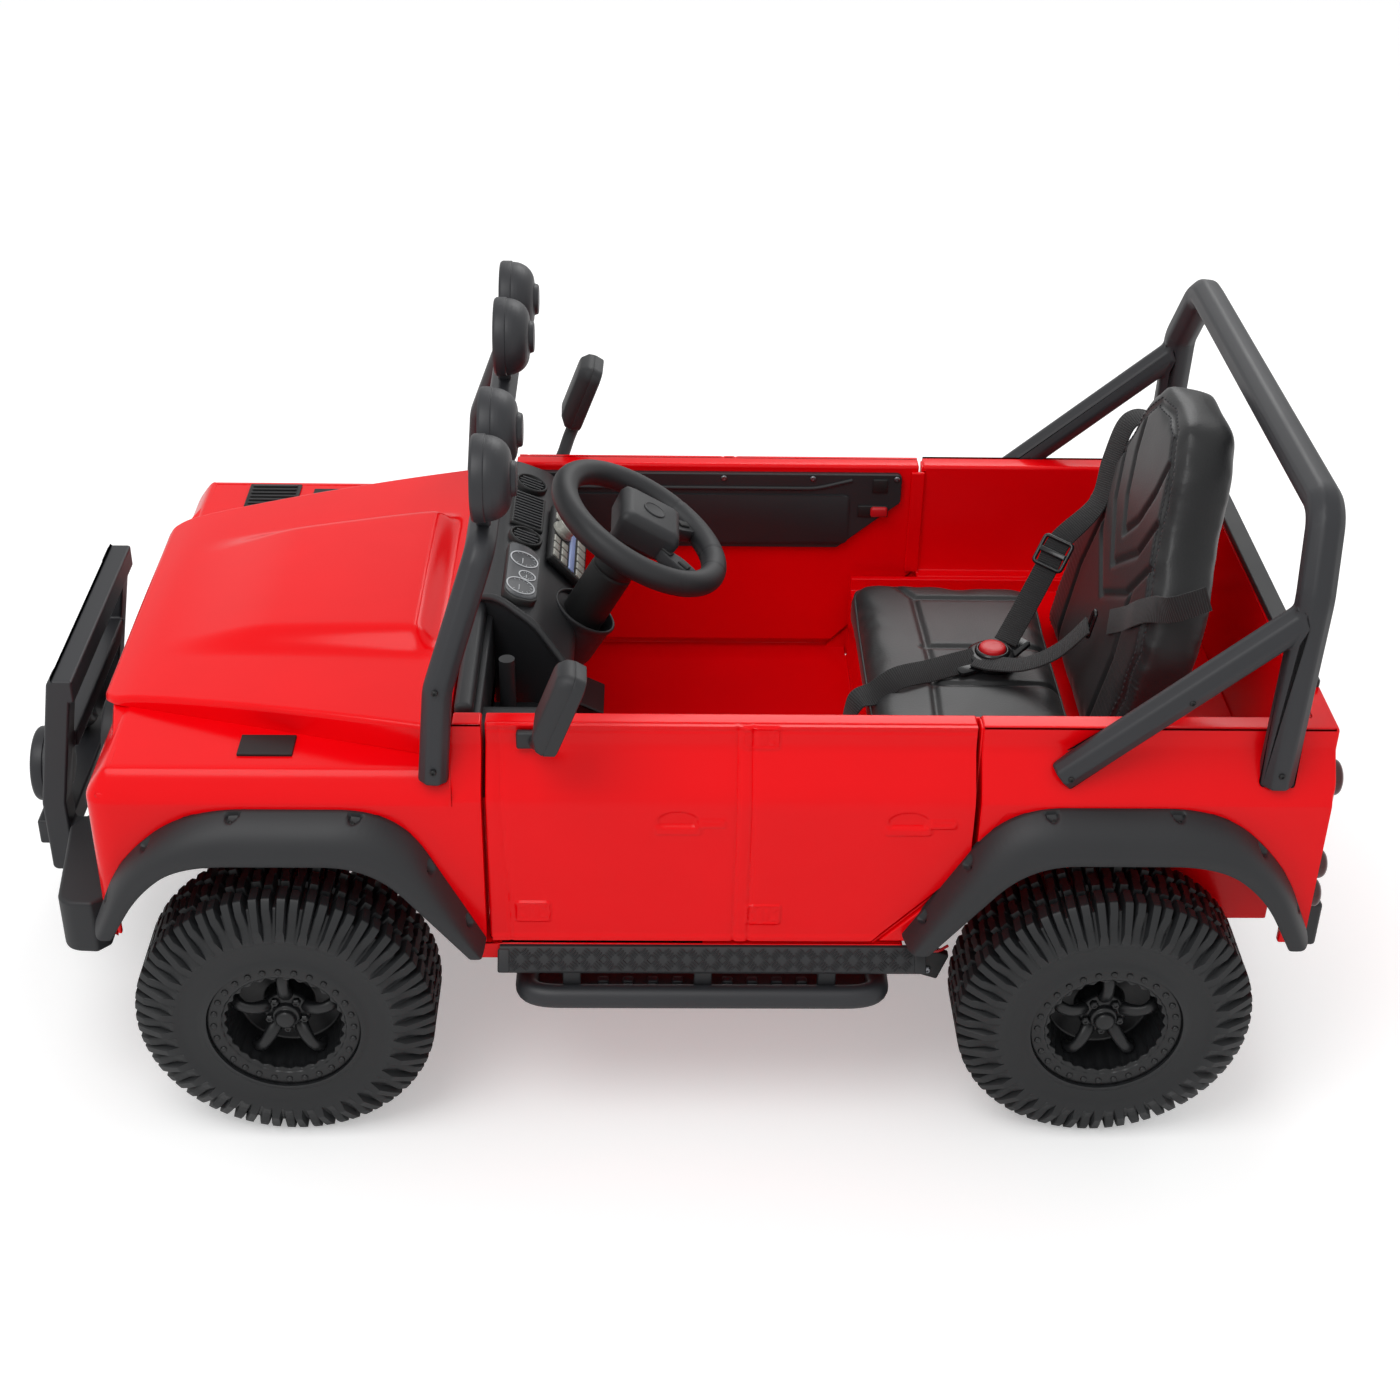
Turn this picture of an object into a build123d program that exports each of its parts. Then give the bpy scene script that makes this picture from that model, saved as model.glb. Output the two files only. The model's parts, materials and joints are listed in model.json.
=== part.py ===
from build123d import *
from collections import namedtuple
from math import atan2, cos, degrees, pi, radians, sin, tan
import os

# Child's battery ride-on 4x4 in millimetres: +X forward, +Y the vehicle's left, +Z up, floor at z = 0.
# Each x below is measured from the middle of the wheelbase. The export moves the middle of the overall
# length to x = 0.

# Running gear
WHEELBASE = 816.0
TYRE_R = 148.0
TYRE_W = 110.0
TYRE_FACE_Y = 372.0
SIDEWALL_R = 108.0
TREAD_ROOT_R = 137.0
TREAD_EDGE = 17.0
LUGS = 24
LUG_W = 26.0
LUG_GAP = 1.5
RIM_R = 78.0
RIM_LIP = 17.0
RING_FLATS = 24
DISH_Y = 8.0
SPOKES = 5
SPOKE_D = 12.0
SPOKE_LEAN = 12.0
AXLE_R = 6.0
AXLE_END = 18.0
STEER_ARM = 66.0
LINK_PIN_R = 4.0
PIN_CLEAR = 0.3
TYRE_CLEAR = 10.0
FRONT_X = WHEELBASE / 2
REAR_X = -WHEELBASE / 2
HUB_Z = TYRE_R
TYRE_TOP_Z = HUB_Z + TYRE_R
WHEEL_Y = TYRE_FACE_Y - TYRE_W / 2
TYRE_INNER_Y = TYRE_FACE_Y - TYRE_W
KINGPIN_Y = TYRE_INNER_Y - 30.0

# Body shell
SIDE_Y = TYRE_FACE_Y - 52.0
WAIST_Y = SIDE_Y - 29.0
INNER_Y = SIDE_Y - 53.0
SKIRT_Z = HUB_Z + 70.0
SHOULDER_Z = TYRE_TOP_Z + 92.0
CREASE_Z = SHOULDER_Z + 42.0
TOP_Z = CREASE_Z + 24.0
WING_Z = SHOULDER_Z + 20.0
SKIN = 8.0
NOSE_X = FRONT_X + TYRE_R + 30.0
TAIL_X = REAR_X - TYRE_R - 54.0
TAIL_WALL = 22.0
NOSE_CORNER = 26.0
TAIL_CORNER = 14.0

# Doors
DOOR_FRONT_X = FRONT_X - TYRE_R - 55.0
DOOR_CUT_X = REAR_X + TYRE_R + 88.0
DOOR_REAR_X = DOOR_CUT_X - 92.0
DOOR_CUT_Z = SKIRT_Z + 95.0
DOOR_GAP = 3.5
DOOR_SWEEP_GAP = 5.0
JAMB_GAP = 1.0
HINGE_X = DOOR_FRONT_X - 4.0
HINGE_Y = SIDE_Y - 5.0
HINGE_PIN_R = 3.0
CARD_T = 8.0

# Nose
COWL_X = DOOR_FRONT_X + 31.0
HOOD_REAR_X = COWL_X + 4.0
HOOD_FRONT_X = NOSE_X + 6.0
HOOD_FRONT_Y = SIDE_Y - 133.0
HOOD_REAR_Y = INNER_Y + 15.0
BULGE_FRONT_Y = 108.0
BULGE_REAR_Y = 156.0
BUMPER_LOW_Z = SKIRT_Z - 28.0
BUMPER_TOP_Z = BUMPER_LOW_Z + 62.0
GRILLE_Y = 172.0
GRILLE_LOW_Z = BUMPER_TOP_Z + 10.0
GRILLE_TOP_Z = WING_Z - 16.0
GRILLE_PITCH = 24.0
GRILLE_SLOT = 16.0

# Floor, sills and seat plinth
FLOOR_Z = SKIRT_Z - 13.0
FLOOR_T = 10.0
SILL_Z = SKIRT_Z - 4.0
SILL_W = 40.0
TOE_X = DOOR_FRONT_X + 7.0
TOE_TOP_Z = WING_Z - 36.0
ARCH_TOP_Z = TYRE_TOP_Z + 20.0
PLINTH_FRONT_X = DOOR_CUT_X - 18.0
PLINTH_Y = TYRE_INNER_Y - TYRE_CLEAR
PLINTH_Z = ARCH_TOP_Z - 16.0
BATTERY_TRAY_X = REAR_X + 68.0
BATTERY_Y = 75.0
RAIL_LOW_Z = HUB_Z + 18.0
RAIL_Y = 136.0
RAIL_W = 24.0

# Steering: the column leans back from the crank to the wheel
WHEEL_HUB = Vector(COWL_X - 176.0, 0, TOP_Z + 58.0)
COLUMN_TILT = 30.0
COLUMN_R = 8.0
COLUMN_CLEAR = 6.0
SHROUD_R = 24.0
SHROUD_L = 135.0
CUP_R = 34.0
STEERING_R = 104.0
GRIP_R = 14.0
CRANK_R = 35.0
CRANK_Z = HUB_Z + 22.0
CRANK_PIN_R = 5.0
CRANK_PIN_L = 42.0
FORK_SLACK = 1.2
FORK_WALL = 5.0
LINK_LOW_Z = HUB_Z - 38.0
LINK_TOP_Z = HUB_Z - 26.0
ARM_LOW_Z = HUB_Z - 22.0
ARM_TOP_Z = HUB_Z - 12.0

# Bars, guard and steps
HOOP_R = 17.0
BRACE_R = 15.0
HOOP_FOOT_Z = SHOULDER_Z + 14.0
HOOP_KNEE_Z = TOP_Z + 150.0
HOOP_TOP_Z = TOP_Z + 222.0
SCREEN_R = 14.0
SCREEN_TOP_Z = TOP_Z + 164.0
GUARD_Y = 131.0
GUARD_W = 30.0
GUARD_D = 25.0
LOWER_RAIL_Z = BUMPER_LOW_Z + 24.0
GUARD_TOP_Z = WING_Z
GUARD_KNEE_Z = LOWER_RAIL_Z + 44.0
GUARD_FOOT_Z = LOWER_RAIL_Z - 42.0
MIDDLE_RAIL_Z = GUARD_TOP_Z - 78.0
GUARD_FRONT_X = NOSE_X + 97.0
GUARD_TOP_X = NOSE_X + 72.0
REAR_BUMPER_X = TAIL_X - 22.0
STEP_Y = SIDE_Y + 16.0
STEP_Z = SKIRT_Z - 58.0
STEP_R = 12.0
STEP_INNER_Y = SIDE_Y - 22.0
SLOT_PITCH = 25.0
SLOTS = 9

# Seat
SEAT_FRONT_X = PLINTH_FRONT_X + 14.0
SEAT_BACK_X = TAIL_X + 202.0
SEAT_Z = PLINTH_Z + 50.0
SEAT_Y = 195.0
SEAT_LEAN = 11.5
SEAT_BACK_T = 60.0
SEAT_SEAT = 0.3
STRAP_W = 28.0
STRAP_T = 2.5
BUCKLE_XY = (SEAT_BACK_X + 86.0, 4.0)
BUCKLE_H = 20.0

# Lamps: centre height, side offsets, radius, depth and front face
LampRow = namedtuple("LampRow", "ys z radius depth face_x")
SPOTS = LampRow((-217.0, -113.0, 113.0, 217.0), SCREEN_TOP_Z + 58.0, 41.0, 42.0, COWL_X - 22.0)
GUARD_LAMPS = LampRow((-70.0, 70.0), LOWER_RAIL_Z + 44.0, 40.0, 34.0, NOSE_X + 118.0)
HEADLAMPS = LampRow((-122.0, 122.0), GRILLE_TOP_Z - 62.0, 42.0, 20.0, NOSE_X + 22.0)
LAMP_BEZEL = 14.0
LAMP_FLATS = 24
TailLamp = namedtuple("TailLamp", "y z radius")
TAIL_LAMPS = [
    TailLamp(SIDE_Y - 40.0, SHOULDER_Z + 4.0, 18.0),
    TailLamp(SIDE_Y - 32.0, SKIRT_Z + 76.0, 15.0),
    TailLamp(SIDE_Y - 32.0, SKIRT_Z + 40.0, 15.0),
]
TAIL_LAMP_T = 14.0

CENTRE_X = (GUARD_LAMPS.face_x + REAR_BUMPER_X) / 2


def arch_line(hub_x, rows):
    """Arch points, each given from the tyre's rear (-1) or front (1) and from its hub (0) or top (1)."""
    return [(hub_x + end * TYRE_R + dx, HUB_Z + lift * TYRE_R + dz) for end, dx, lift, dz in rows]


# Wheel arch openings with the flare's lip and its edge on the body, from tip to tip
Arch = namedtuple("Arch", "opening lip edge")
FRONT_ARCH = Arch(*(arch_line(FRONT_X, rows) for rows in (
    [(-1, -36, 0, 74), (-1, 53, 1, 36), (1, -62, 1, 36), (1, -19, 1, 2), (1, 12, 0, 96)],
    [(-1, -48, 0, 74), (-1, 46, 1, 50), (1, -56, 1, 50), (1, -7, 1, 10), (1, 24, 0, 96)],
    [(-1, -51, 0, 74), (-1, 28, 1, 80), (1, -68, 1, 80), (1, 2, 1, 24), (1, 34, 0, 96)],
)))
REAR_ARCH = Arch(*(arch_line(REAR_X, rows) for rows in (
    [(1, 33, 0, 80), (1, -56, 1, 41), (-1, 58, 1, 41), (-1, 8, 1, 2), (-1, -24, 0, 88)],
    [(1, 47, 0, 80), (1, -48, 1, 55), (-1, 51, 1, 55), (-1, -4, 1, 12), (-1, -38, 0, 88)],
    [(1, 57, 0, 80), (1, -33, 1, 86), (-1, 54, 1, 86), (-1, -16, 1, 20), (-1, -50, 0, 88)],
)))
FLARE_Y = SIDE_Y + 36.0
ARCH_ROUND = 40.0
EDGE_ROUND = 28.0


def block(x0, x1, y0, y1, z0, z1):
    return Pos((x0 + x1) / 2, (y0 + y1) / 2, (z0 + z1) / 2) * Box(x1 - x0, y1 - y0, z1 - z0)


def outline(points, radius):
    if radius:
        return make_face(FilletPolyline(*points, radius=radius, close=True))
    return make_face(Polyline(*points, close=True))


def along_x(yz, x0, x1, radius=0):
    face = outline([(x0, y, z) for y, z in yz], radius)
    return extrude(face, amount=x1 - x0, dir=(1, 0, 0))


def along_y(xz, y0, y1, radius=0):
    face = outline([(x, y0, z) for x, z in xz], radius)
    return extrude(face, amount=y1 - y0, dir=(0, 1, 0))


def along_z(xy, z0, z1, radius=0):
    face = outline([(x, y, z0) for x, y in xy], radius)
    return extrude(face, amount=z1 - z0, dir=(0, 0, 1))


def rod(start, end, radius, flats=0):
    axis = Vector(end) - Vector(start)
    section = RegularPolygon(radius, flats) if flats else Circle(radius)
    return extrude(Plane(origin=start, z_dir=axis) * section, amount=axis.length)


def pipe(points, bend, radius, flats=8):
    path = FilletPolyline(*points, radius=bend)
    section = RegularPolygon(radius, flats, major_radius=False, rotation=180 / flats)
    return sweep(Plane(origin=path @ 0, z_dir=path % 0) * section, path=path)


def flip(shape):
    return mirror(shape, about=Plane.XZ)


def pair(shape):
    return Compound([shape, flip(shape)])


def across(half):
    return half + [(x, -y, z) for x, y, z in reversed(half)]


def spread(low, high, side):
    """Order a left-hand y range for the left (1) or right (-1) side."""
    return sorted((side * low, side * high))


# Shared shapes of the shell


def side_wall(x0, x1):
    section = [
        (SIDE_Y, SKIRT_Z), (SIDE_Y, SHOULDER_Z), (WAIST_Y, CREASE_Z),
        (WAIST_Y, TOP_Z), (INNER_Y, TOP_Z), (INNER_Y, SKIRT_Z),
    ]
    return along_x(section, x0, x1, [0, 18, 8, 4, 4, 0])


def arch_cut(arch, y0, y1):
    first, last = arch.opening[0], arch.opening[-1]
    radii = [0] + [ARCH_ROUND] * (len(arch.opening) - 2) + [0, 0, 0]
    return along_y(arch.opening + [(last[0], HUB_Z), (first[0], HUB_Z)], y0, y1, radii)


def arch_face(points, y, radius):
    radii = [0] + [radius] * (len(points) - 2) + [0]
    return make_face(FilletPolyline(*[(x, y, z) for x, z in points], radius=radii, close=True))


def make_flare(arch):
    """A flare: the body edge drawn out to the lip, with the arch opening cut through it."""
    inner = arch_face(arch.edge, SIDE_Y, EDGE_ROUND)
    outer = arch_face(arch.lip, FLARE_Y, EDGE_ROUND)
    return loft([inner, outer], ruled=True) - arch_cut(arch, SIDE_Y - 10, FLARE_Y + 10)


# Steering axis


def column_at(z):
    return Vector(WHEEL_HUB.X + (WHEEL_HUB.Z - z) * tan(radians(COLUMN_TILT)), 0, z)


COLUMN_AXIS = Vector(sin(radians(COLUMN_TILT)), 0, -cos(radians(COLUMN_TILT)))
CRANK_DIR = Vector(cos(radians(COLUMN_TILT)), 0, sin(radians(COLUMN_TILT)))


# Body panels


def make_tub():
    under = FLOOR_Z - FLOOR_T
    wall_y = SIDE_Y - SILL_W + SKIN
    toe = TOE_X + SKIN
    tub = block(PLINTH_FRONT_X, toe, -wall_y, wall_y, under, FLOOR_Z)
    tub += block(BATTERY_TRAY_X, PLINTH_FRONT_X, -PLINTH_Y, PLINTH_Y, under, FLOOR_Z)
    tub += block(TOE_X, toe, -wall_y, wall_y, under, TOE_TOP_Z)
    for side in (-1, 1):
        y0, y1 = spread(SIDE_Y - SILL_W, SIDE_Y, side)
        bore = Pos(HINGE_X, side * HINGE_Y, SILL_Z) * Cylinder(HINGE_PIN_R + PIN_CLEAR, 30)
        tub += block(PLINTH_FRONT_X - 15, toe, y0, y1, under, SILL_Z) - bore
        y0, y1 = spread(PLINTH_Y - SKIN, PLINTH_Y, side)
        tub += block(TAIL_X + TAIL_WALL, PLINTH_FRONT_X, y0, y1, under, ARCH_TOP_Z)
    tub += block(PLINTH_FRONT_X - SKIN, PLINTH_FRONT_X, -PLINTH_Y, PLINTH_Y, under, PLINTH_Z)
    tub += block(TAIL_X + TAIL_WALL, PLINTH_FRONT_X, -PLINTH_Y, PLINTH_Y, PLINTH_Z - SKIN, PLINTH_Z)
    start = column_at(TOE_TOP_Z)
    return tub - rod(start, start + COLUMN_AXIS * (TOE_TOP_Z - HUB_Z), COLUMN_R + COLUMN_CLEAR, 12)


def make_front_clip():
    rear = DOOR_FRONT_X + DOOR_GAP
    low = FRONT_ARCH.opening[0][1]
    section = [
        (SIDE_Y, low), (SIDE_Y, SHOULDER_Z - 4), (SIDE_Y - 18, WING_Z), (SIDE_Y - 170, WING_Z + 2),
        (SIDE_Y - 170, WING_Z + 2 - SKIN), (SIDE_Y - 22, WING_Z - SKIN),
        (SIDE_Y - SKIN, SHOULDER_Z - 8), (SIDE_Y - SKIN, low),
    ]
    wing = along_x(section, rear, NOSE_X, [0, 20, 12, 0, 0, 6, 12, 0])
    wing -= block(rear - 10, COWL_X, 0, INNER_Y - 5, SHOULDER_Z - 88, TOP_Z)
    wing += side_wall(rear, COWL_X) & block(rear, COWL_X, INNER_Y - 5, SIDE_Y, TOE_TOP_Z, TOP_Z)
    wing += block(rear, rear + SKIN - 2, SIDE_Y - SILL_W + SKIN, SIDE_Y - 2, SKIRT_Z + 4, SHOULDER_Z)
    wing -= arch_cut(FRONT_ARCH, INNER_Y - 60, SIDE_Y + 20)
    wall = block(NOSE_X - 10, NOSE_X, -SIDE_Y + 2, SIDE_Y - 2, BUMPER_TOP_Z - 4, WING_Z - 6)
    wall -= block(NOSE_X - 20, NOSE_X + 10, -GRILLE_Y, GRILLE_Y, GRILLE_LOW_Z, GRILLE_TOP_Z)
    top = block(NOSE_X - 60, NOSE_X, 160 - SIDE_Y, SIDE_Y - 160, WING_Z - 6, WING_Z + 2)
    plan = [(NOSE_X, SIDE_Y), (NOSE_X, -SIDE_Y), (rear, -SIDE_Y), (rear, SIDE_Y)]
    shell = wing + flip(wing) + wall + top
    return shell & along_z(plan, SKIRT_Z - 20, TOP_Z + 50, [NOSE_CORNER, NOSE_CORNER, 0, 0])


def make_hood():
    """A hood crowned along its length, with a raised centre panel that narrows and fades towards the nose."""
    base = WING_Z + 2
    side_view = [
        (HOOD_REAR_X, base), (HOOD_REAR_X, base + 37), (NOSE_X - 156, base + 27), (NOSE_X - 26, base + 14),
        (HOOD_FRONT_X, base + 4), (HOOD_FRONT_X, base),
    ]
    panel = along_y(side_view, -HOOD_REAR_Y, HOOD_REAR_Y, [0, 6, 300, 40, 2, 0])
    plan = [
        (HOOD_FRONT_X, HOOD_FRONT_Y), (HOOD_REAR_X, HOOD_REAR_Y),
        (HOOD_REAR_X, -HOOD_REAR_Y), (HOOD_FRONT_X, -HOOD_FRONT_Y),
    ]
    panel &= along_z(plan, base - 10, TOP_Z + 40, [20, 0, 0, 20])
    front, rear = NOSE_X - 41, HOOD_REAR_X + 22
    raised = [
        (front, base + 10), (rear, base + 26), (rear + 4, base + 42), (rear + 30, base + 56), (front - 59, base + 36),
    ]
    bulge = along_y(raised, -BULGE_REAR_Y, BULGE_REAR_Y, [0, 0, 6, 20, 60])
    crest = BULGE_REAR_Y - 44
    ridge = [(BULGE_REAR_Y, base), (crest, base + 70), (-crest, base + 70), (-BULGE_REAR_Y, base)]
    bulge &= along_x(ridge, rear - 10, front + 10)
    taper = [(front, BULGE_FRONT_Y), (rear, BULGE_REAR_Y), (rear, -BULGE_REAR_Y), (front, -BULGE_FRONT_Y)]
    return panel + (bulge & along_z(taper, base, TOP_Z + 40))


def make_rear_body():
    front = DOOR_REAR_X - DOOR_SWEEP_GAP
    quarter = side_wall(TAIL_X, front)
    cheek = side_wall(front, DOOR_CUT_X - 6)
    slope = [(front, HUB_Z), (front, DOOR_CUT_Z - 7), (DOOR_CUT_X - 8, SKIRT_Z), (DOOR_CUT_X - 8, HUB_Z)]
    quarter += cheek & along_y(slope, INNER_Y - 60, SIDE_Y + 20)
    quarter -= block(TAIL_X - 10, DOOR_CUT_X + 72, INNER_Y - 60, SIDE_Y - SKIN, HUB_Z, ARCH_TOP_Z)
    quarter += block(TAIL_X, front, PLINTH_Y, INNER_Y + 4, ARCH_TOP_Z - SKIN, ARCH_TOP_Z)
    quarter += block(front - 2, front + 14, INNER_Y - 6, INNER_Y - JAMB_GAP, ARCH_TOP_Z, TOP_Z - 6)
    quarter += block(front - 2, front, INNER_Y - 6, INNER_Y + 4, ARCH_TOP_Z, TOP_Z - 6)
    quarter -= arch_cut(REAR_ARCH, SIDE_Y - 20, SIDE_Y + 20)
    wall = block(TAIL_X, TAIL_X + TAIL_WALL, -SIDE_Y + 1, SIDE_Y - 1, SKIRT_Z + 4, ARCH_TOP_Z)
    wall += block(TAIL_X, TAIL_X + TAIL_WALL, -INNER_Y - 4, INNER_Y + 4, ARCH_TOP_Z, TOP_Z)
    plan = [(TAIL_X, SIDE_Y), (DOOR_CUT_X, SIDE_Y), (DOOR_CUT_X, -SIDE_Y), (TAIL_X, -SIDE_Y)]
    shell = quarter + flip(quarter) + wall
    return shell & along_z(plan, SKIRT_Z - 38, TOP_Z + 26, [TAIL_CORNER, 0, 0, TAIL_CORNER])


def make_door():
    view = [
        (DOOR_FRONT_X, TOP_Z + 10), (DOOR_FRONT_X, SKIRT_Z), (DOOR_CUT_X, SKIRT_Z),
        (DOOR_REAR_X, DOOR_CUT_Z), (DOOR_REAR_X, TOP_Z + 10),
    ]
    panel = side_wall(DOOR_REAR_X - 5, DOOR_FRONT_X + 5) & along_y(view, INNER_Y - 60, SIDE_Y + 20)
    return panel + rod((HINGE_X, HINGE_Y, SKIRT_Z - 14), (HINGE_X, HINGE_Y, SKIRT_Z + 1), HINGE_PIN_R)


def make_card():
    top, low = TOP_Z - 8, TOP_Z - 104
    front, rear = DOOR_FRONT_X - 17, DOOR_REAR_X + 20
    view = [(front, top), (front, low), (rear + 72, low), (rear, low + 60), (rear, top)]
    return along_y(view, INNER_Y - CARD_T, INNER_Y, 6)


def make_mirror():
    pivot_x, pivot_y = DOOR_FRONT_X - 55, WAIST_Y + 16
    plate = block(pivot_x - 2, pivot_x + 26, WAIST_Y, WAIST_Y + 7, CREASE_Z + 4, TOP_Z - 4)
    socket = rod((pivot_x, pivot_y, CREASE_Z - 6), (pivot_x, pivot_y, TOP_Z - 6), 10, 12)
    neck = block(pivot_x - 4, pivot_x + 10, WAIST_Y, pivot_y, CREASE_Z + 6, TOP_Z - 8)
    arm = rod((pivot_x, pivot_y, TOP_Z - 10), (pivot_x - 12, SIDE_Y + 18, TOP_Z + 38), 7, 8)
    view = [(13, -18), (-13, -26), (-13, 26), (13, 18)]
    head = along_z(view, -36, 36, [6, 3, 3, 6])
    return plate + neck + socket + arm + Location((pivot_x - 18, SIDE_Y + 22, TOP_Z + 52), (0, 14, 12)) * head


def make_step():
    """A sloped sill plate with a tube and a slotted board hung under it on brackets."""
    plate_rear, plate_front = REAR_ARCH.opening[0][0] + 1, FRONT_ARCH.opening[0][0] - 28
    section = [
        (SIDE_Y, SKIRT_Z - 5), (SIDE_Y + 4, SKIRT_Z - 5), (SIDE_Y + 18, SKIRT_Z - 24),
        (SIDE_Y + 14, SKIRT_Z - 30), (SIDE_Y, SKIRT_Z - 30),
    ]
    step = along_x(section, plate_rear, plate_front)
    rear, front = plate_rear + 32, plate_front - 14
    middle = (front + rear) / 2
    step += rod((rear, STEP_Y, STEP_Z), (front, STEP_Y, STEP_Z), STEP_R, 8)
    board = block(rear + 6, front - 6, STEP_INNER_Y, STEP_Y, STEP_Z - 4, STEP_Z + 3)
    for k in range(SLOTS):
        x = middle + (k - (SLOTS - 1) / 2) * SLOT_PITCH
        board -= block(x - 6, x + 6, STEP_INNER_Y + 14, STEP_INNER_Y + 20, STEP_Z - 10, STEP_Z + 10)
    step += board
    for x in (rear + 64, middle, front - 57):
        step += block(x - 9, x + 9, SIDE_Y, SIDE_Y + 10, STEP_Z, SKIRT_Z - 28)
    return step


# Cabin


def make_dash():
    view = [
        (COWL_X + 2, WING_Z + 4), (COWL_X + 2, TOP_Z - 2), (COWL_X - 30, TOP_Z + 10),
        (COWL_X - 70, TOP_Z - 6), (COWL_X - 110, TOP_Z - 50), (COWL_X - 96, TOP_Z - 110), (TOE_X, TOP_Z - 124), (TOE_X, WING_Z + 4),
    ]
    dash = along_y(view, 12 - INNER_Y, INNER_Y - 12, [0, 6, 14, 10, 12, 12, 0, 0])
    cubby_low, cubby_top = TOP_Z - 102, TOP_Z - 30
    dash -= block(COWL_X - 126, COWL_X - 40, 74, INNER_Y - 35, cubby_low, cubby_top)
    dash += block(COWL_X - 50, COWL_X - 40, 146, 158, cubby_low, cubby_top)
    centre = column_at(TOP_Z - 56)
    dash += rod(centre + COLUMN_AXIS * 44, centre - COLUMN_AXIS * 16, CUP_R, 16)
    return dash - rod(centre + COLUMN_AXIS * 200, centre - COLUMN_AXIS * 40, SHROUD_R + PIN_CLEAR)


def make_panels():
    """The media panel and the dial cluster, seated on the two slopes of the dash."""
    slope = Plane(origin=(COWL_X - 90, 0, TOP_Z - 28), x_dir=(0, 1, 0), z_dir=(-0.74, 0, 0.673))
    media = slope * Pos(-108, 0, 5 + SEAT_SEAT) * Box(124, 54, 10)
    cluster_slope = Plane(origin=(COWL_X - 50, 0, TOP_Z + 2), x_dir=(0, 1, 0), z_dir=(-0.371, 0, 0.928))
    cluster = cluster_slope * Pos(12, 0, 5 + SEAT_SEAT) * Box(104, 34, 10)
    return [media, cluster]


def make_pedal():
    front = COWL_X - 68
    return along_y([(front - 72, FLOOR_Z), (front, FLOOR_Z), (front, FLOOR_Z + 36)], -178, -112, 2)


def make_seat_base():
    rear = SEAT_BACK_X + 6
    plan = [(SEAT_FRONT_X, SEAT_Y), (SEAT_FRONT_X, -SEAT_Y), (rear, 15 - SEAT_Y), (rear, SEAT_Y - 15)]
    base = along_z(plan, PLINTH_Z, SEAT_Z, 34)
    return chamfer(base.edges().group_by(Axis.Z)[-1], 12)


def make_seat_back():
    half = [(178, 0), (185, 110), (185, 165), (165, 222), (134, 256), (118, 276), (92, 335), (52, 376)]
    radii = [14, 40, 40, 24, 14, 24, 40, 28]
    view = half + [(-y, z) for y, z in reversed(half)]
    body = along_x(view, -SEAT_BACK_T, 0, radii + radii[::-1])
    place = Location((SEAT_BACK_X, 0, PLINTH_Z + SEAT_SEAT), (0, -SEAT_LEAN, 0))
    foot = block(SEAT_BACK_X - 300, SEAT_BACK_X + 100, -SEAT_Y, SEAT_Y, PLINTH_Z - 100, PLINTH_Z + SEAT_SEAT)
    return place * body - foot


def strap(origin, towards, points):
    """A flat strap of webbing in the upright plane from origin towards a plan point, along (run, z)."""
    start = Vector(*origin, 0)
    run = (Vector(*towards, 0) - start).normalized()
    side = Vector(-run.Y, run.X, 0)
    upper = [(u, z + STRAP_T) for u, z in points]
    ring = [start + run * u + Vector(0, 0, z) - side * (STRAP_W / 2) for u, z in points + upper[::-1]]
    return extrude(make_face(Polyline(*ring, close=True)), amount=STRAP_W, dir=side)


def make_harness():
    """Two straps up the seat back and one over the front edge of the seat, all from the buckle."""
    lie = SEAT_Z + SEAT_SEAT
    ends = {
        "shoulder": (SEAT_BACK_X - 50, -118),
        "side": (SEAT_BACK_X - 42, 140),
        "lap": (SEAT_FRONT_X + 6, 78),
    }
    to_lap = Vector(*ends["lap"]) - Vector(*BUCKLE_XY)
    edge = (SEAT_FRONT_X - BUCKLE_XY[0]) * to_lap.length / to_lap.X
    runs = {
        "shoulder": [(22, 8), (60, 30), (118, 98), (158, 180), (172, 228)],
        "side": [(22, 8), (72, 12), (104, 60), (172, 158)],
        "lap": [(22, 6), (edge - 14, 2), (edge + 8, -4), (edge + 20, -30), (edge + 24, -56)],
    }
    return [strap(BUCKLE_XY, ends[name], [(u, lie + dz) for u, dz in run]) for name, run in runs.items()]


def make_buckle():
    x, y = BUCKLE_XY
    case = block(x - 26, x + 26, y - 30, y + 30, SEAT_Z + SEAT_SEAT, SEAT_Z + BUCKLE_H)
    return case + rod((x, y, SEAT_Z + BUCKLE_H - 5), (x, y, SEAT_Z + BUCKLE_H + 5), 15, 16)


# Bars and lamps


def make_screen_frame():
    half = [
        (COWL_X + 18, SIDE_Y - 12, WING_Z - SKIN + 3), (COWL_X + 10, SIDE_Y - 17, TOP_Z + 46),
        (COWL_X - 30, SIDE_Y - 70, SCREEN_TOP_Z),
    ]
    return pipe(across(half), 26, SCREEN_R)


def make_roll_bar():
    y = SIDE_Y - 16
    knee_x = TAIL_X + 53
    half = [(knee_x + 5, y, HOOP_FOOT_Z), (knee_x, y - 1, HOOP_KNEE_Z), (knee_x - 9, y - 40, HOOP_TOP_Z)]
    brace_top, brace_foot = (knee_x + 1, y - 1, HOOP_KNEE_Z - 16), (knee_x + 212, y, HOOP_FOOT_Z + 6)
    brace = rod(brace_top, brace_foot, BRACE_R / cos(pi / 8), 8)
    return pipe(across(half), 34, HOOP_R) + brace + flip(brace)


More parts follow.
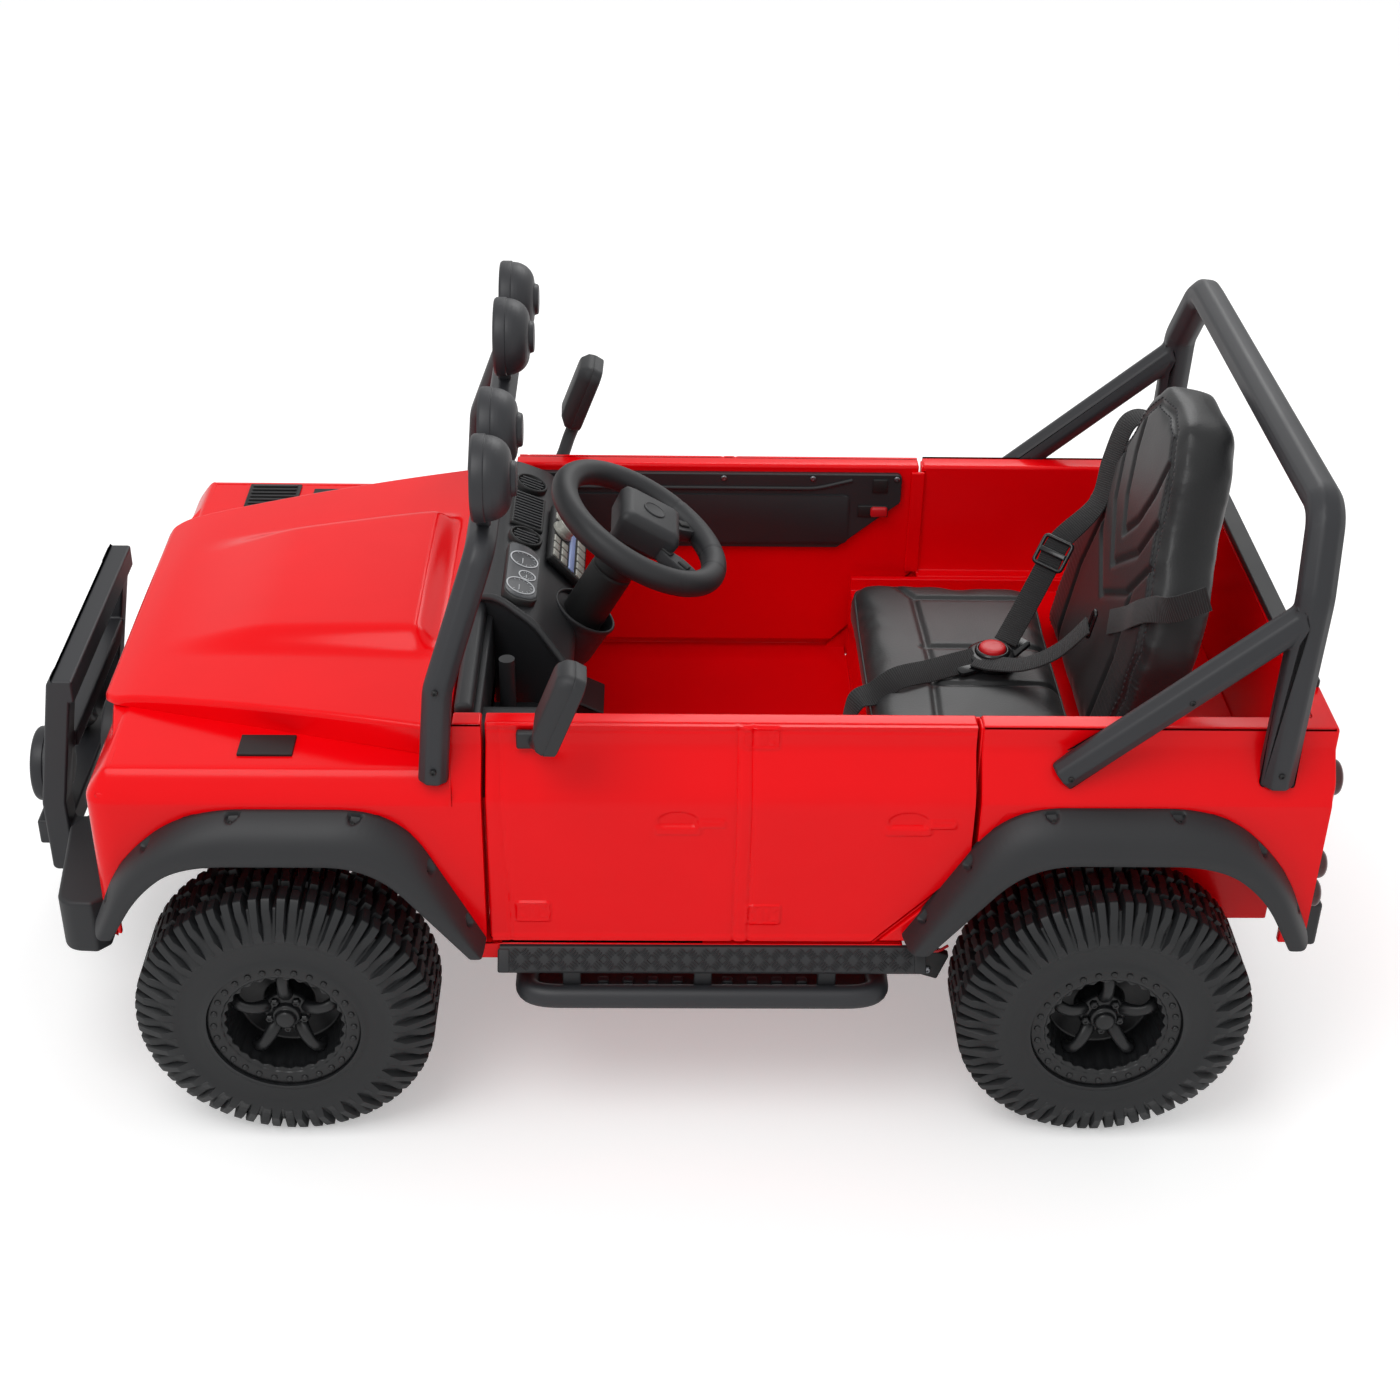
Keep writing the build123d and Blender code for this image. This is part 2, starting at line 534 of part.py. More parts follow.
def lamp_bowl(row, y, cap):
    """A lamp shell: a straight bezel, then a bowl that narrows to its back cap."""
    bezel_x = row.face_x - LAMP_BEZEL
    bezel = rod((row.face_x, y, row.z), (bezel_x, y, row.z), row.radius, LAMP_FLATS)
    mouth = Plane(origin=(bezel_x, y, row.z), z_dir=(-1, 0, 0)) * RegularPolygon(row.radius, LAMP_FLATS)
    length = row.depth - LAMP_BEZEL
    return bezel + extrude(mouth, amount=length, taper=degrees(atan2(row.radius - cap, length)))


def make_bull_bar():
    front = [(GUARD_TOP_X, GUARD_TOP_Z), (GUARD_FRONT_X, GUARD_KNEE_Z), (GUARD_FRONT_X, GUARD_FOOT_Z)]
    view = front + [(x - GUARD_D, z) for x, z in reversed(front)]
    radii = [8, 20, 6, 6, 20, 8]
    y0, y1 = GUARD_Y - GUARD_W / 2, GUARD_Y + GUARD_W / 2
    upright = along_y(view, y0, y1, radii)
    rear = GUARD_FRONT_X - GUARD_D
    arm = block(NOSE_X + 40, rear + 2, y0 + 5, y1 - 5, LOWER_RAIL_Z - 14, LOWER_RAIL_Z + 12)
    guard = upright + flip(upright) + arm + flip(arm)
    guard += block(GUARD_TOP_X - GUARD_D - 1, GUARD_TOP_X - 4, -y1, y1, GUARD_TOP_Z - 26, GUARD_TOP_Z)
    guard += block(rear + 8, GUARD_LAMPS.face_x - 2, -y0, y0, LOWER_RAIL_Z - 30, LOWER_RAIL_Z)
    guard += block(rear - 14, rear + 8, -y0, y0, MIDDLE_RAIL_Z - 20, MIDDLE_RAIL_Z)
    return guard


def make_front_bumper():
    plan = [
        (NOSE_X, SIDE_Y - 24), (NOSE_X + 12, SIDE_Y - 12), (NOSE_X + 46, SIDE_Y - 14),
        (NOSE_X + 62, GUARD_Y + 45), (NOSE_X + 44, GUARD_Y + 19),
    ]
    plan += [(x, -y) for x, y in reversed(plan)]
    return along_z(plan, BUMPER_LOW_Z, BUMPER_TOP_Z, [0, 6, 20, 8, 4, 4, 8, 20, 6, 0])


def make_grille():
    plate = block(NOSE_X - 12, NOSE_X + 2, -GRILLE_Y, GRILLE_Y, GRILLE_LOW_Z, GRILLE_TOP_Z)
    slot_y = HEADLAMPS.ys[1] - HEADLAMPS.radius - 10
    for k in range(int((GRILLE_TOP_Z - GRILLE_LOW_Z - 2 * GRILLE_SLOT) // GRILLE_PITCH)):
        z = GRILLE_LOW_Z + 14 + k * GRILLE_PITCH
        plate -= block(NOSE_X - 4, NOSE_X + 10, -slot_y, slot_y, z, z + GRILLE_SLOT)
    return plate


# Running gear


def make_chassis():
    high = FLOOR_Z - FLOOR_T
    frame = block(NOSE_X - 26, NOSE_X, -RAIL_Y, RAIL_Y, RAIL_LOW_Z, FLOOR_Z + 35)
    for side in (-1, 1):
        frame += block(TAIL_X + TAIL_WALL, NOSE_X, *spread(RAIL_Y - RAIL_W, RAIL_Y, side), RAIL_LOW_Z, high)
    for x in (REAR_X - 92, BATTERY_TRAY_X + 28, FRONT_X):
        frame += block(x - 20, x + 20, -RAIL_Y, RAIL_Y, RAIL_LOW_Z, high)
    return frame


def make_front_axle():
    """A beam under the rails with a forked end and a kingpin on each side."""
    yoke = KINGPIN_Y - 26
    beam = block(FRONT_X - 14, FRONT_X + 14, -yoke - 8, yoke + 8, HUB_Z - 12, RAIL_LOW_Z)
    for side in (-1, 1):
        for z0, z1 in ((HUB_Z - 32, HUB_Z - 26), (HUB_Z + 26, HUB_Z + 32)):
            beam += block(FRONT_X - 18, FRONT_X + 18, *spread(yoke, KINGPIN_Y + 16, side), z0, z1)
        beam += block(FRONT_X - 18, FRONT_X + 18, *spread(yoke, yoke + 8, side), HUB_Z - 32, HUB_Z + 32)
        beam += Pos(FRONT_X, side * KINGPIN_Y, HUB_Z) * Cylinder(AXLE_R, 58)
    return beam


def make_knuckle():
    knuckle = block(FRONT_X - 13, FRONT_X + 13, KINGPIN_Y - 13, KINGPIN_Y + 13, HUB_Z - 23, HUB_Z + 23)
    knuckle += block(FRONT_X - STEER_ARM - 9, FRONT_X, KINGPIN_Y - 8, KINGPIN_Y + 8, ARM_LOW_Z, ARM_TOP_Z)
    knuckle += rod((FRONT_X, KINGPIN_Y, HUB_Z), (FRONT_X, TYRE_FACE_Y - AXLE_END, HUB_Z), AXLE_R)
    knuckle -= Pos(FRONT_X, KINGPIN_Y, HUB_Z) * Cylinder(AXLE_R + PIN_CLEAR, 80)
    return knuckle - Pos(FRONT_X - STEER_ARM, KINGPIN_Y, ARM_LOW_Z) * Cylinder(LINK_PIN_R + PIN_CLEAR, 40)


def crank_tip():
    return column_at(CRANK_Z) - CRANK_DIR * CRANK_R


def make_tie_rod():
    """A bar with a pin up into each steering arm, and a fork that the crank's pin swings."""
    x = FRONT_X - STEER_ARM
    link = block(x - 8, x + 8, -KINGPIN_Y - 8, KINGPIN_Y + 8, LINK_LOW_Z, LINK_TOP_Z)
    prong = CRANK_PIN_R + FORK_SLACK
    for side in (-1, 1):
        link += rod((x, side * KINGPIN_Y, LINK_LOW_Z + 4), (x, side * KINGPIN_Y, ARM_TOP_Z + 6), LINK_PIN_R)
        link += block(crank_tip().X - 7, x, *spread(prong, prong + FORK_WALL, side), LINK_LOW_Z, ARM_TOP_Z)
    return link


def make_column():
    end = column_at(CRANK_Z)
    tip = crank_tip()
    shaft = rod(WHEEL_HUB + COLUMN_AXIS * 20, end + COLUMN_AXIS * 6, COLUMN_R)
    plane = Plane(origin=end, x_dir=CRANK_DIR, z_dir=COLUMN_AXIS)
    arm = plane * Pos(-CRANK_R / 2, 0, 0) * Box(CRANK_R + 14, 16, 10)
    return shaft + arm + rod(tip, tip + COLUMN_AXIS * CRANK_PIN_L, CRANK_PIN_R)


def make_steering_wheel():
    ring = STEERING_R - GRIP_R
    grip = Plane.XZ * Pos(ring, 0) * RegularPolygon(GRIP_R, 8, major_radius=False, rotation=22.5)
    wheel = revolve(grip, axis=Axis.Z)
    pad = along_z([(-34, -34), (34, -34), (38, 40), (-38, 40)], -14, 24, 8)
    wheel += pad
    for side in (-1, 1):
        spoke = along_z([(side * 20, 20), (side * 36, 16), (side * 66, 58), (side * 48, 74)], -10, 4)
        wheel += spoke
    wheel += Pos(0, 0, -SHROUD_L / 2) * Cylinder(SHROUD_R, SHROUD_L)
    wheel -= Pos(0, 0, -SHROUD_L + 10) * Cylinder(COLUMN_R, 2 * SHROUD_L - 60)
    return Plane(origin=WHEEL_HUB, x_dir=(0, 1, 0), z_dir=-COLUMN_AXIS) * wheel


def make_tyre():
    """A many-sided carcass with shoulder lugs: one side view across the tread, set round in a circle."""
    half = TYRE_W / 2
    edge = half - TREAD_EDGE
    across_wheel = Plane(origin=(0, edge, 0), x_dir=(1, 0, 0), z_dir=(0, 1, 0))
    band = across_wheel * RegularPolygon(TREAD_ROOT_R, LUGS, major_radius=False, rotation=180 / LUGS)
    shoulder = extrude(band, amount=TREAD_EDGE, taper=degrees(atan2(TREAD_ROOT_R - SIDEWALL_R, TREAD_EDGE)))
    carcass = extrude(band, amount=-2 * edge) + shoulder + flip(shoulder)
    crest = (TYRE_R - LUG_W / 2 * sin(pi / LUGS)) / cos(pi / LUGS)
    side_view = [
        (TREAD_ROOT_R - 8, LUG_GAP), (crest, LUG_GAP), (crest, edge),
        (SIDEWALL_R + 13, half), (SIDEWALL_R - 4, half),
    ]
    face = make_face(Polyline(*[(r, y, -LUG_W / 2) for r, y in side_view], close=True))
    lug = extrude(face, amount=LUG_W, dir=(0, 0, 1))
    pitch = 360 / LUGS
    lugs = [Rot(0, 90 + pitch * k, 0) * lug for k in range(LUGS)]
    lugs += [Rot(0, 90 + pitch * (k + 0.5), 0) * flip(lug) for k in range(LUGS)]
    return carcass.fuse(*lugs) - prism(RIM_R, RING_FLATS, -TYRE_W, TYRE_W)


def prism(radius, sides, y0, y1):
    """A many-sided disc across the wheel, its flats at the given radius."""
    across_wheel = Plane(origin=(0, y0, 0), x_dir=(1, 0, 0), z_dir=(0, 1, 0))
    return extrude(across_wheel * RegularPolygon(radius, sides, major_radius=False), amount=y1 - y0)


def make_rim():
    half = TYRE_W / 2
    stub = TYRE_FACE_Y - AXLE_END - WHEEL_Y
    inner = RIM_R - RIM_LIP
    rim = prism(RIM_R, RING_FLATS, 10 - half, half - 3)
    rim -= prism(inner, RING_FLATS, DISH_Y, half)
    rim -= prism(inner, RING_FLATS, -half, DISH_Y - 6)
    rim += prism(23, 2 * SPOKES, 8 - half, stub - 4)
    rim += prism(11, 2 * SPOKES, stub - 4, stub + 8)
    for k in range(SPOKES):
        spoke = along_y([(-7, 14), (7, 14), (6, inner - 2), (-6, inner - 2)], 0, SPOKE_D)
        lean = Location((0, stub - 8 - SPOKE_D, 0), (SPOKE_LEAN, 0, 0))
        rim += Rot(0, 360 / SPOKES * k, 0) * (lean * spoke)
    return rim - rod((0, -TYRE_W, 0), (0, stub + 1, 0), AXLE_R + PIN_CLEAR)


def at_wheel(shape, x, side):
    return Pos(x, side * WHEEL_Y, HUB_Z) * (shape if side > 0 else flip(shape))


def build():
    front_clip = make_front_clip()
    rear_body = make_rear_body()
    bumper = make_front_bumper()
    screen_frame = make_screen_frame() - front_clip
    gearbox = block(REAR_X - 48, REAR_X + 48, RAIL_Y + 40, PLINTH_Y - SKIN, HUB_Z - 52, HUB_Z + 88)
    gearbox -= rod((REAR_X, RAIL_Y, HUB_Z), (REAR_X, PLINTH_Y, HUB_Z), AXLE_R + PIN_CLEAR)
    axle_y = TYRE_FACE_Y - AXLE_END
    lamps = []
    for row, foot_z, cap in ((SPOTS, SCREEN_TOP_Z, 15), (GUARD_LAMPS, LOWER_RAIL_Z, 24)):
        for y in row.ys:
            foot = block(row.face_x - 16, row.face_x - 4, y - 7, y + 7, foot_z, row.z - row.radius + 6)
            lamps.append(lamp_bowl(row, y, cap) + foot - screen_frame)
    headlamps = []
    for y in HEADLAMPS.ys:
        start = (NOSE_X + 2, y, HEADLAMPS.z)
        headlamps.append(rod(start, (HEADLAMPS.face_x, y, HEADLAMPS.z), HEADLAMPS.radius, LAMP_FLATS))
    tail_lamps = []
    for lamp in TAIL_LAMPS:
        disc = rod((TAIL_X - TAIL_LAMP_T, lamp.y, lamp.z), (TAIL_X - 0.2, lamp.y, lamp.z), lamp.radius, 16)
        tail_lamps += [disc, flip(disc)]
    battery_rear, battery_front = BATTERY_TRAY_X + 5, PLINTH_FRONT_X - 15
    rail_y = INNER_Y - 51
    buckle = make_buckle()
    straps = [strap - buckle for strap in make_harness()]
    vent = block(FRONT_X - 17, FRONT_X + 36, SIDE_Y - 74, SIDE_Y - 40, WING_Z, WING_Z + 4) - front_clip

    nodes = {
        "tub": make_tub(),
        "front_clip": front_clip,
        "hood": make_hood(),
        "rear_body": rear_body,
        "chassis_frame": make_chassis(),
        "front_axle": make_front_axle(),
        "rear_axle": rod((REAR_X, -axle_y, HUB_Z), (REAR_X, axle_y, HUB_Z), AXLE_R),
        "gearboxes": pair(gearbox),
        "battery": block(battery_rear, battery_front, -BATTERY_Y, BATTERY_Y, FLOOR_Z, PLINTH_Z - SKIN - 2),
        "front_bumper": bumper,
        "rear_bumper": block(REAR_BUMPER_X, TAIL_X, 34 - SIDE_Y, SIDE_Y - 34, SKIRT_Z - 31, SKIRT_Z + 22),
        "bull_bar": make_bull_bar() - bumper,
        "grille": make_grille(),
        "headlamps": Compound(headlamps),
        "spot_lamps": Compound(lamps),
        "tail_lamps": Compound(tail_lamps),
        "tailgate_rail": block(TAIL_X + 1, TAIL_X + TAIL_WALL - 1, -rail_y, rail_y, TOP_Z, TOP_Z + 9),
        "wing_vents": pair(vent),
        "screen_frame": screen_frame,
        "roll_bar": make_roll_bar() - rear_body,
        "dashboard": make_dash(),
        "instrument_panels": Compound(make_panels()),
        "pedal": make_pedal(),
        "seat_base": make_seat_base(),
        "seat_back": make_seat_back(),
        "harness": Compound(straps),
        "buckle": buckle,
        "steering_wheel": make_steering_wheel(),
        "steering_column": make_column(),
        "tie_rod": make_tie_rod(),
    }
    sided = {
        "door": make_door(),
        "door_card": make_card(),
        "mirror": make_mirror(),
        "step": make_step(),
        "knuckle": make_knuckle(),
        "flare_front": make_flare(FRONT_ARCH),
        "flare_rear": make_flare(REAR_ARCH),
    }
    tyre = make_tyre()
    rim = make_rim()
    for word, side in (("left", 1), ("right", -1)):
        for name, shape in sided.items():
            nodes[f"{name}_{word}"] = shape if side > 0 else flip(shape)
        for end, x in (("front", FRONT_X), ("rear", REAR_X)):
            nodes[f"tyre_{end}_{word}"] = at_wheel(tyre, x, side)
            nodes[f"rim_{end}_{word}"] = at_wheel(rim, x, side)
    return nodes


os.makedirs("parts", exist_ok=True)
nodes = build()
for name, shape in nodes.items():
    export_step(Pos(-CENTRE_X, 0, 0) * shape, f"parts/{name}.step")
print(len(nodes), "nodes; origin at x =", CENTRE_X, "from the middle of the wheelbase")
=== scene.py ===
# %% [markdown]
# # A child's ride-on 4x4, dressed over its CAD frame
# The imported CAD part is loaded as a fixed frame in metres. Each step below either gives one of its solids
# a finish, or works out a finer surface with numpy that stands for a solid and moves with the same body.
# Lengths are written in millimetres from the middle of the wheelbase, as on a drawing of the toy, and one
# function turns them to metres.

# %% Load the frame
import bmesh
import bpy
import json
import numpy as np
from math import cos, pi, radians, sin
from mathutils import Matrix, Vector
from mathutils.bvhtree import BVHTree

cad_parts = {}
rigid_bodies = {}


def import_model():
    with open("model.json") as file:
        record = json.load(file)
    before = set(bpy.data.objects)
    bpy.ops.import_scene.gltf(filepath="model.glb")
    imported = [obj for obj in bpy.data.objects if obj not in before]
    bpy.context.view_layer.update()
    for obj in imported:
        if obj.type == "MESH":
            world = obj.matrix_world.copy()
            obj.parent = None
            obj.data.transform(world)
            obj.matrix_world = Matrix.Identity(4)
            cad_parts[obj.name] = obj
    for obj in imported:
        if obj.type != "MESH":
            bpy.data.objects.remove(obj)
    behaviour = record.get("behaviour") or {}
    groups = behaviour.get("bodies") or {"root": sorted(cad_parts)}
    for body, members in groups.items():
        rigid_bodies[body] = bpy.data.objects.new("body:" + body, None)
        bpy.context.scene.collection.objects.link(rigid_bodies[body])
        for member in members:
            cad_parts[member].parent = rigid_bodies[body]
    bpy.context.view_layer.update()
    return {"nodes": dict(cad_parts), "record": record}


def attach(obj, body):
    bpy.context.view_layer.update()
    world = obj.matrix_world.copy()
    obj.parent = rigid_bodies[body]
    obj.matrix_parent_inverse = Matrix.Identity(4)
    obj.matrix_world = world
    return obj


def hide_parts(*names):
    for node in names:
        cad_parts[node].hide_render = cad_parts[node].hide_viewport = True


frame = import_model()
scene = bpy.context.scene
scene.view_settings.view_transform = "Standard"
MM = 0.001
ORIGIN = np.array([36.0, 0.0, 0.0])
SIDES = ((1, "left"), (-1, "right"))
UP_AXES = ((1, 0, 0), (0, 1, 0), (0, 0, 1))
# How a grid closes: (first index, second index) joined round to the start
SHEET, RINGS, CLOSED = (False, False), (False, True), (True, True)
BODY_OF = {n: body for body, nodes in frame["record"]["behaviour"]["bodies"].items() for n in nodes}

# %% [markdown]
# ## Surfaces from arrays
# Nearly every new piece is a grid of points P[i, j] joined by four-sided faces. Working on whole arrays
# keeps the shape readable as a formula and makes it quick to build. A ring of points carried along a path
# gives bars and straps, and a profile turned about an axis gives lamps and wheels.

# %% Grids, lathes and sweeps


def grid_faces(nu, nv, wrap_u=False, wrap_v=False):
    """Four-sided faces of an nu by nv grid, joined round to the start where wrap is set."""
    i = np.arange(nu if wrap_u else nu - 1)[:, None]
    j = np.arange(nv if wrap_v else nv - 1)[None, :]
    i2, j2 = (i + 1) % nu, (j + 1) % nv
    corners = [i * nv + j, i2 * nv + j, i2 * nv + j2, i * nv + j2]
    return np.stack(np.broadcast_arrays(*corners), -1).reshape(-1, 4).tolist()


def piece(name, points, faces, finish, body="body", uv=None, sharp=40.0):
    """One object from points in mm and faces, merged, turned outwards, smooth up to the sharp angle."""
    mesh = bpy.data.meshes.new(name)
    mesh.from_pydata(((np.asarray(points, float) - ORIGIN) * MM).tolist(), [], faces)
    if uv is not None:
        loops = np.empty(len(mesh.loops), int)
        mesh.loops.foreach_get("vertex_index", loops)
        layer = mesh.uv_layers.new(name="run")
        layer.data.foreach_set("uv", np.asarray(uv, float)[loops].ravel())
    settle(mesh, sharp)
    obj = bpy.data.objects.new(name, mesh)
    scene.collection.objects.link(obj)
    return dress(obj, finish, body)


def settle(mesh, sharp):
    """Merge doubles, turn the faces outwards and shade smooth up to the sharp angle."""
    bm = bmesh.new()
    bm.from_mesh(mesh)
    bmesh.ops.remove_doubles(bm, verts=bm.verts, dist=2e-6)
    bmesh.ops.recalc_face_normals(bm, faces=bm.faces)
    bm.to_mesh(mesh)
    bm.free()
    mesh.polygons.foreach_set("use_smooth", np.ones(len(mesh.polygons), bool))
    mesh.set_sharp_from_angle(angle=radians(sharp))


def dress(obj, finish, body="body"):
    """Give an object its finish, and let it move with its body."""
    material, slot = finish
    obj.data.materials.clear()
    obj.data.materials.append(material)
    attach(obj, body)
    return obj


def faces_of(P, wrap=RINGS, caps=False):
    """Faces of the grid P[i, j]; caps close its first and last rows with flat faces."""
    nu, nv = P.shape[:2]
    ends = [list(range(nv)), list(range((nu - 1) * nv, nu * nv))] if caps else []
    return grid_faces(nu, nv, *wrap) + ends


def surface(name, P, finish, body="body", wrap=RINGS, caps=False, uv=None, sharp=40.0):
    """The grid P[i, j] as one piece."""
    return piece(name, P.reshape(-1, 3), faces_of(P, wrap, caps), finish, body, uv, sharp)


def basis(axis):
    """Two unit vectors square to the axis and to each other, and the axis itself."""
    w = np.asarray(axis, float) / np.linalg.norm(axis)
    u = np.cross([0.0, 0.0, 1.0], w) if abs(w[2]) < 0.9 else np.cross([0.0, 1.0, 0.0], w)
    u /= np.linalg.norm(u)
    return u, np.cross(w, u), w


def lathe(profile, centre, axis, turns=64):
    """Turn (radius, height) points about an axis: P = centre + r cos(a) u + r sin(a) v + h w."""
    u, v, w = basis(axis)
    r, h = np.asarray(profile, float).T
    a = np.linspace(0, 2 * pi, turns, endpoint=False)
    ring = np.cos(a)[:, None] * u + np.sin(a)[:, None] * v
    return np.asarray(centre, float) + r[:, None, None] * ring + h[:, None, None] * w


def turned(name, profile, centre, axis, turns, finish, body="body", wrap=RINGS, sharp=40.0):
    """A profile turned about an axis as one piece."""
    return surface(name, lathe(profile, centre, axis, turns), finish, body, wrap, sharp=sharp)


def eased(points, radius, steps=4, closed=False):
    """Round each corner of a line: a quadratic curve from radius before the corner to radius after it."""
    p = np.asarray(points, float)
    radius = np.broadcast_to(np.asarray(radius, float), len(p))[:, None]
    back, on = np.roll(p, 1, 0) - p, np.roll(p, -1, 0) - p
    lb, lo = np.linalg.norm(back, axis=1, keepdims=True), np.linalg.norm(on, axis=1, keepdims=True)
    start = p + back / lb * np.minimum(radius, lb * 0.49)
    end = p + on / lo * np.minimum(radius, lo * 0.49)
    t = np.linspace(0, 1, steps)[None, :, None]
    curve = (1 - t) ** 2 * start[:, None] + 2 * t * (1 - t) * p[:, None] + t * t * end[:, None]
    if closed:
        return curve.reshape(-1, p.shape[1])
    return np.vstack([p[:1], curve[1:-1].reshape(-1, p.shape[1]), p[-1:]])


def flowing(points, count):
    """A smooth line through control points: a Catmull-Rom curve sampled at even parameters."""
    p = np.asarray(points, float)
    p = np.vstack([2 * p[0] - p[1], p, 2 * p[-1] - p[-2]])
    s = np.linspace(0, len(p) - 3 - 1e-9, count)
    k = s.astype(int)
    t = (s - k)[:, None]
    a, b, c, d = p[k], p[k + 1], p[k + 2], p[k + 3]
    return 0.5 * (2 * b + (c - a) * t + (2 * a - 5 * b + 4 * c - d) * t**2 + (3 * b - a - 3 * c + d) * t**3)


def carried(section, path, up):
    """Carry a flat section (side, over) along a path, its over direction kept near up."""
    path = np.asarray(path, float)
    t = np.gradient(path, axis=0)
    t /= np.linalg.norm(t, axis=1, keepdims=True)
    side = np.cross(t, np.broadcast_to(np.asarray(up, float), path.shape))
    side /= np.linalg.norm(side, axis=1, keepdims=True)
    over = np.cross(side, t)
    s = np.asarray(section, float)
    return path[:, None] + s[None, :, :1] * side[:, None] + s[None, :, 1:] * over[:, None]


def repeated(points, faces, frames, places):
    """Set a small shape at many places: points times each 3 by 3 frame, plus the place."""
    frames, places = np.asarray(frames, float), np.asarray(places, float)
    P = np.einsum("pk,nkx->npx", np.asarray(points, float), frames) + places[:, None]
    n, k = P.shape[:2]
    all_faces = [[v + i * k for v in f] for i in range(n) for f in faces]
    return P.reshape(-1, 3), all_faces


def ring_of(radius, count):
    """A circle of points as a section for carried."""
    a = np.linspace(0, 2 * pi, count, endpoint=False)
    return np.stack([radius * np.cos(a), radius * np.sin(a)], 1)


def bar(name, path, radius, sides, up, finish, body="body"):
    """A round bar along a path, closed at both ends."""
    return surface(name, carried(ring_of(radius, sides), path, up), finish, body, caps=True, sharp=60.0)


def scattered(name, P, frames, places, finish, body="body", sharp=60.0):
    """Copies of a small grid set at many places, as one piece."""
    return piece(name, *repeated(P.reshape(-1, 3), faces_of(P), frames, places), finish, body, sharp=sharp)


def hoop(name, path, radius, sides, up, finish):
    """A round bar along a closed path."""
    P = carried(ring_of(radius, sides), np.vstack([path[-1:], path, path[:1]]), up)[1:-1]
    return surface(name, P, finish, wrap=CLOSED, sharp=60.0)


def placed(flat, height, origin, axes):
    """A flat outline (u, v) set at a height over the plane of the first two axes."""
    u, v, n = (np.asarray(a, float) / np.linalg.norm(a) for a in axes)
    return np.asarray(origin, float) + flat[:, :1] * u + flat[:, 1:] * v + height * n


def rounded_box(half, radius, steps=4):
    """Closed outline of a box with half sizes (a, b) and rounded corners."""
    a, b = half
    return eased([(-a, -b), (a, -b), (a, b), (-a, b)], radius, steps, closed=True)


def pillow_box(name, centre, half, radius, finish, body="body", axes=UP_AXES):
    """A moulded block: a rounded outline carried up in height, drawn in a little at both ends."""
    a, b, c = half
    soft = min(radius, c)
    heights = [-c, -c + soft * 0.3, -c + soft, c - soft, c - soft * 0.3, c]
    shrink = [soft, soft * 0.24, 0, 0, soft * 0.24, soft]
    rings = [rounded_box((a - s, b - s), max(radius - s, 0.4)) for s in shrink]
    P = np.stack([placed(ring, h, centre, axes) for ring, h in zip(rings, heights)])
    return surface(name, P, finish, body, caps=True, sharp=50.0)


print("surface helpers ready")

# %% [markdown]
# ## Finishes
# The toy is injection-moulded plastic almost everywhere: glossy polypropylene for the red shell, a
# grained black grade for bars and trim, blow-moulded black plastic for the wheels. The seat is
# leatherette over foam, the harness is woven polyester. Each finish is a small node tree on Object
# coordinates, with its grain worked out from millimetres.

# %% Node helper and colours
# Patches of about 80 mm for the broad change of colour and roughness, and yarns of 1.1 mm along the webbing
BROAD_SCALE, YARN_MM = 12.0, 1.1


def linear(code):
    """sRGB hex to linear RGBA."""
    c = np.array([int(code[i:i + 2], 16) for i in (1, 3, 5)]) / 255
    return (*np.where(c <= 0.04045, c / 12.92, ((c + 0.055) / 1.055) ** 2.4), 1.0)


def node(material, kind, inputs=None, **settings):
    """Add one node with its settings; inputs holds values, or sockets to link from."""
    tree = material.node_tree
    made = tree.nodes.new(kind)
    for key, value in settings.items():
        setattr(made, key, value)
    for key, value in (inputs or {}).items():
        if isinstance(value, bpy.types.NodeSocket):
            tree.links.new(value, made.inputs[key])
        else:
            made.inputs[key].default_value = value
    return made


def new_finish(name, slot, colour, roughness, **sockets):
    """A material on one principled shader, and the record's slot that it finishes."""
    material = bpy.data.materials.new(name)
    material.use_nodes = True
    shader = material.node_tree.nodes["Principled BSDF"]
    shader.inputs["Base Color"].default_value = linear(colour)
    shader.inputs["Roughness"].default_value = roughness
    for key, value in sockets.items():
        shader.inputs[key.replace("_", " ")].default_value = value
    material.diffuse_color = linear(colour)
    return material, slot


def grain(finish, size_mm, depth_mm, colours=None, rough=None, detail=3.0, kind="ShaderNodeTexNoise"):
    """Surface grain of a real size: bump from a fine noise, colour and roughness varied by a broad one."""
    material = finish[0]
    shader, link = material.node_tree.nodes["Principled BSDF"], material.node_tree.links.new
    place = node(material, "ShaderNodeTexCoord").outputs["Object"]
    inputs = {"Vector": place, "Scale": 1000 / size_mm}
    if kind == "ShaderNodeTexNoise":
        height = node(material, kind, {**inputs, "Detail": detail}).outputs["Fac"]
    else:
        height = node(material, kind, inputs).outputs["Distance"]
    bump = node(material, "ShaderNodeBump", {"Height": height, "Distance": depth_mm * MM, "Strength": 1.0})
    link(bump.outputs["Normal"], shader.inputs["Normal"])
    inputs = {"Vector": place, "Scale": BROAD_SCALE, "Detail": 4.0}
    broad = node(material, "ShaderNodeTexNoise", inputs).outputs["Fac"]
    if colours:
        mix = node(material, "ShaderNodeMix", {"Factor": broad}, data_type="RGBA")
        mix.inputs[6].default_value, mix.inputs[7].default_value = linear(colours[0]), linear(colours[1])
        link(mix.outputs[2], shader.inputs["Base Color"])
    if rough:
        span = node(material, "ShaderNodeMapRange", {"Value": broad, "To Min": rough[0], "To Max": rough[1]})
        link(span.outputs["Result"], shader.inputs["Roughness"])
    return finish


# Glossy moulded polypropylene: clear reflections with a faint orange peel of about 4 mm
RED = grain(new_finish("red_gloss_polypropylene", "body_red", "#F00009", 0.18, Specular_IOR_Level=0.22),
            4.0, 0.012, ("#EA0008", "#F3000C"), (0.15, 0.22))
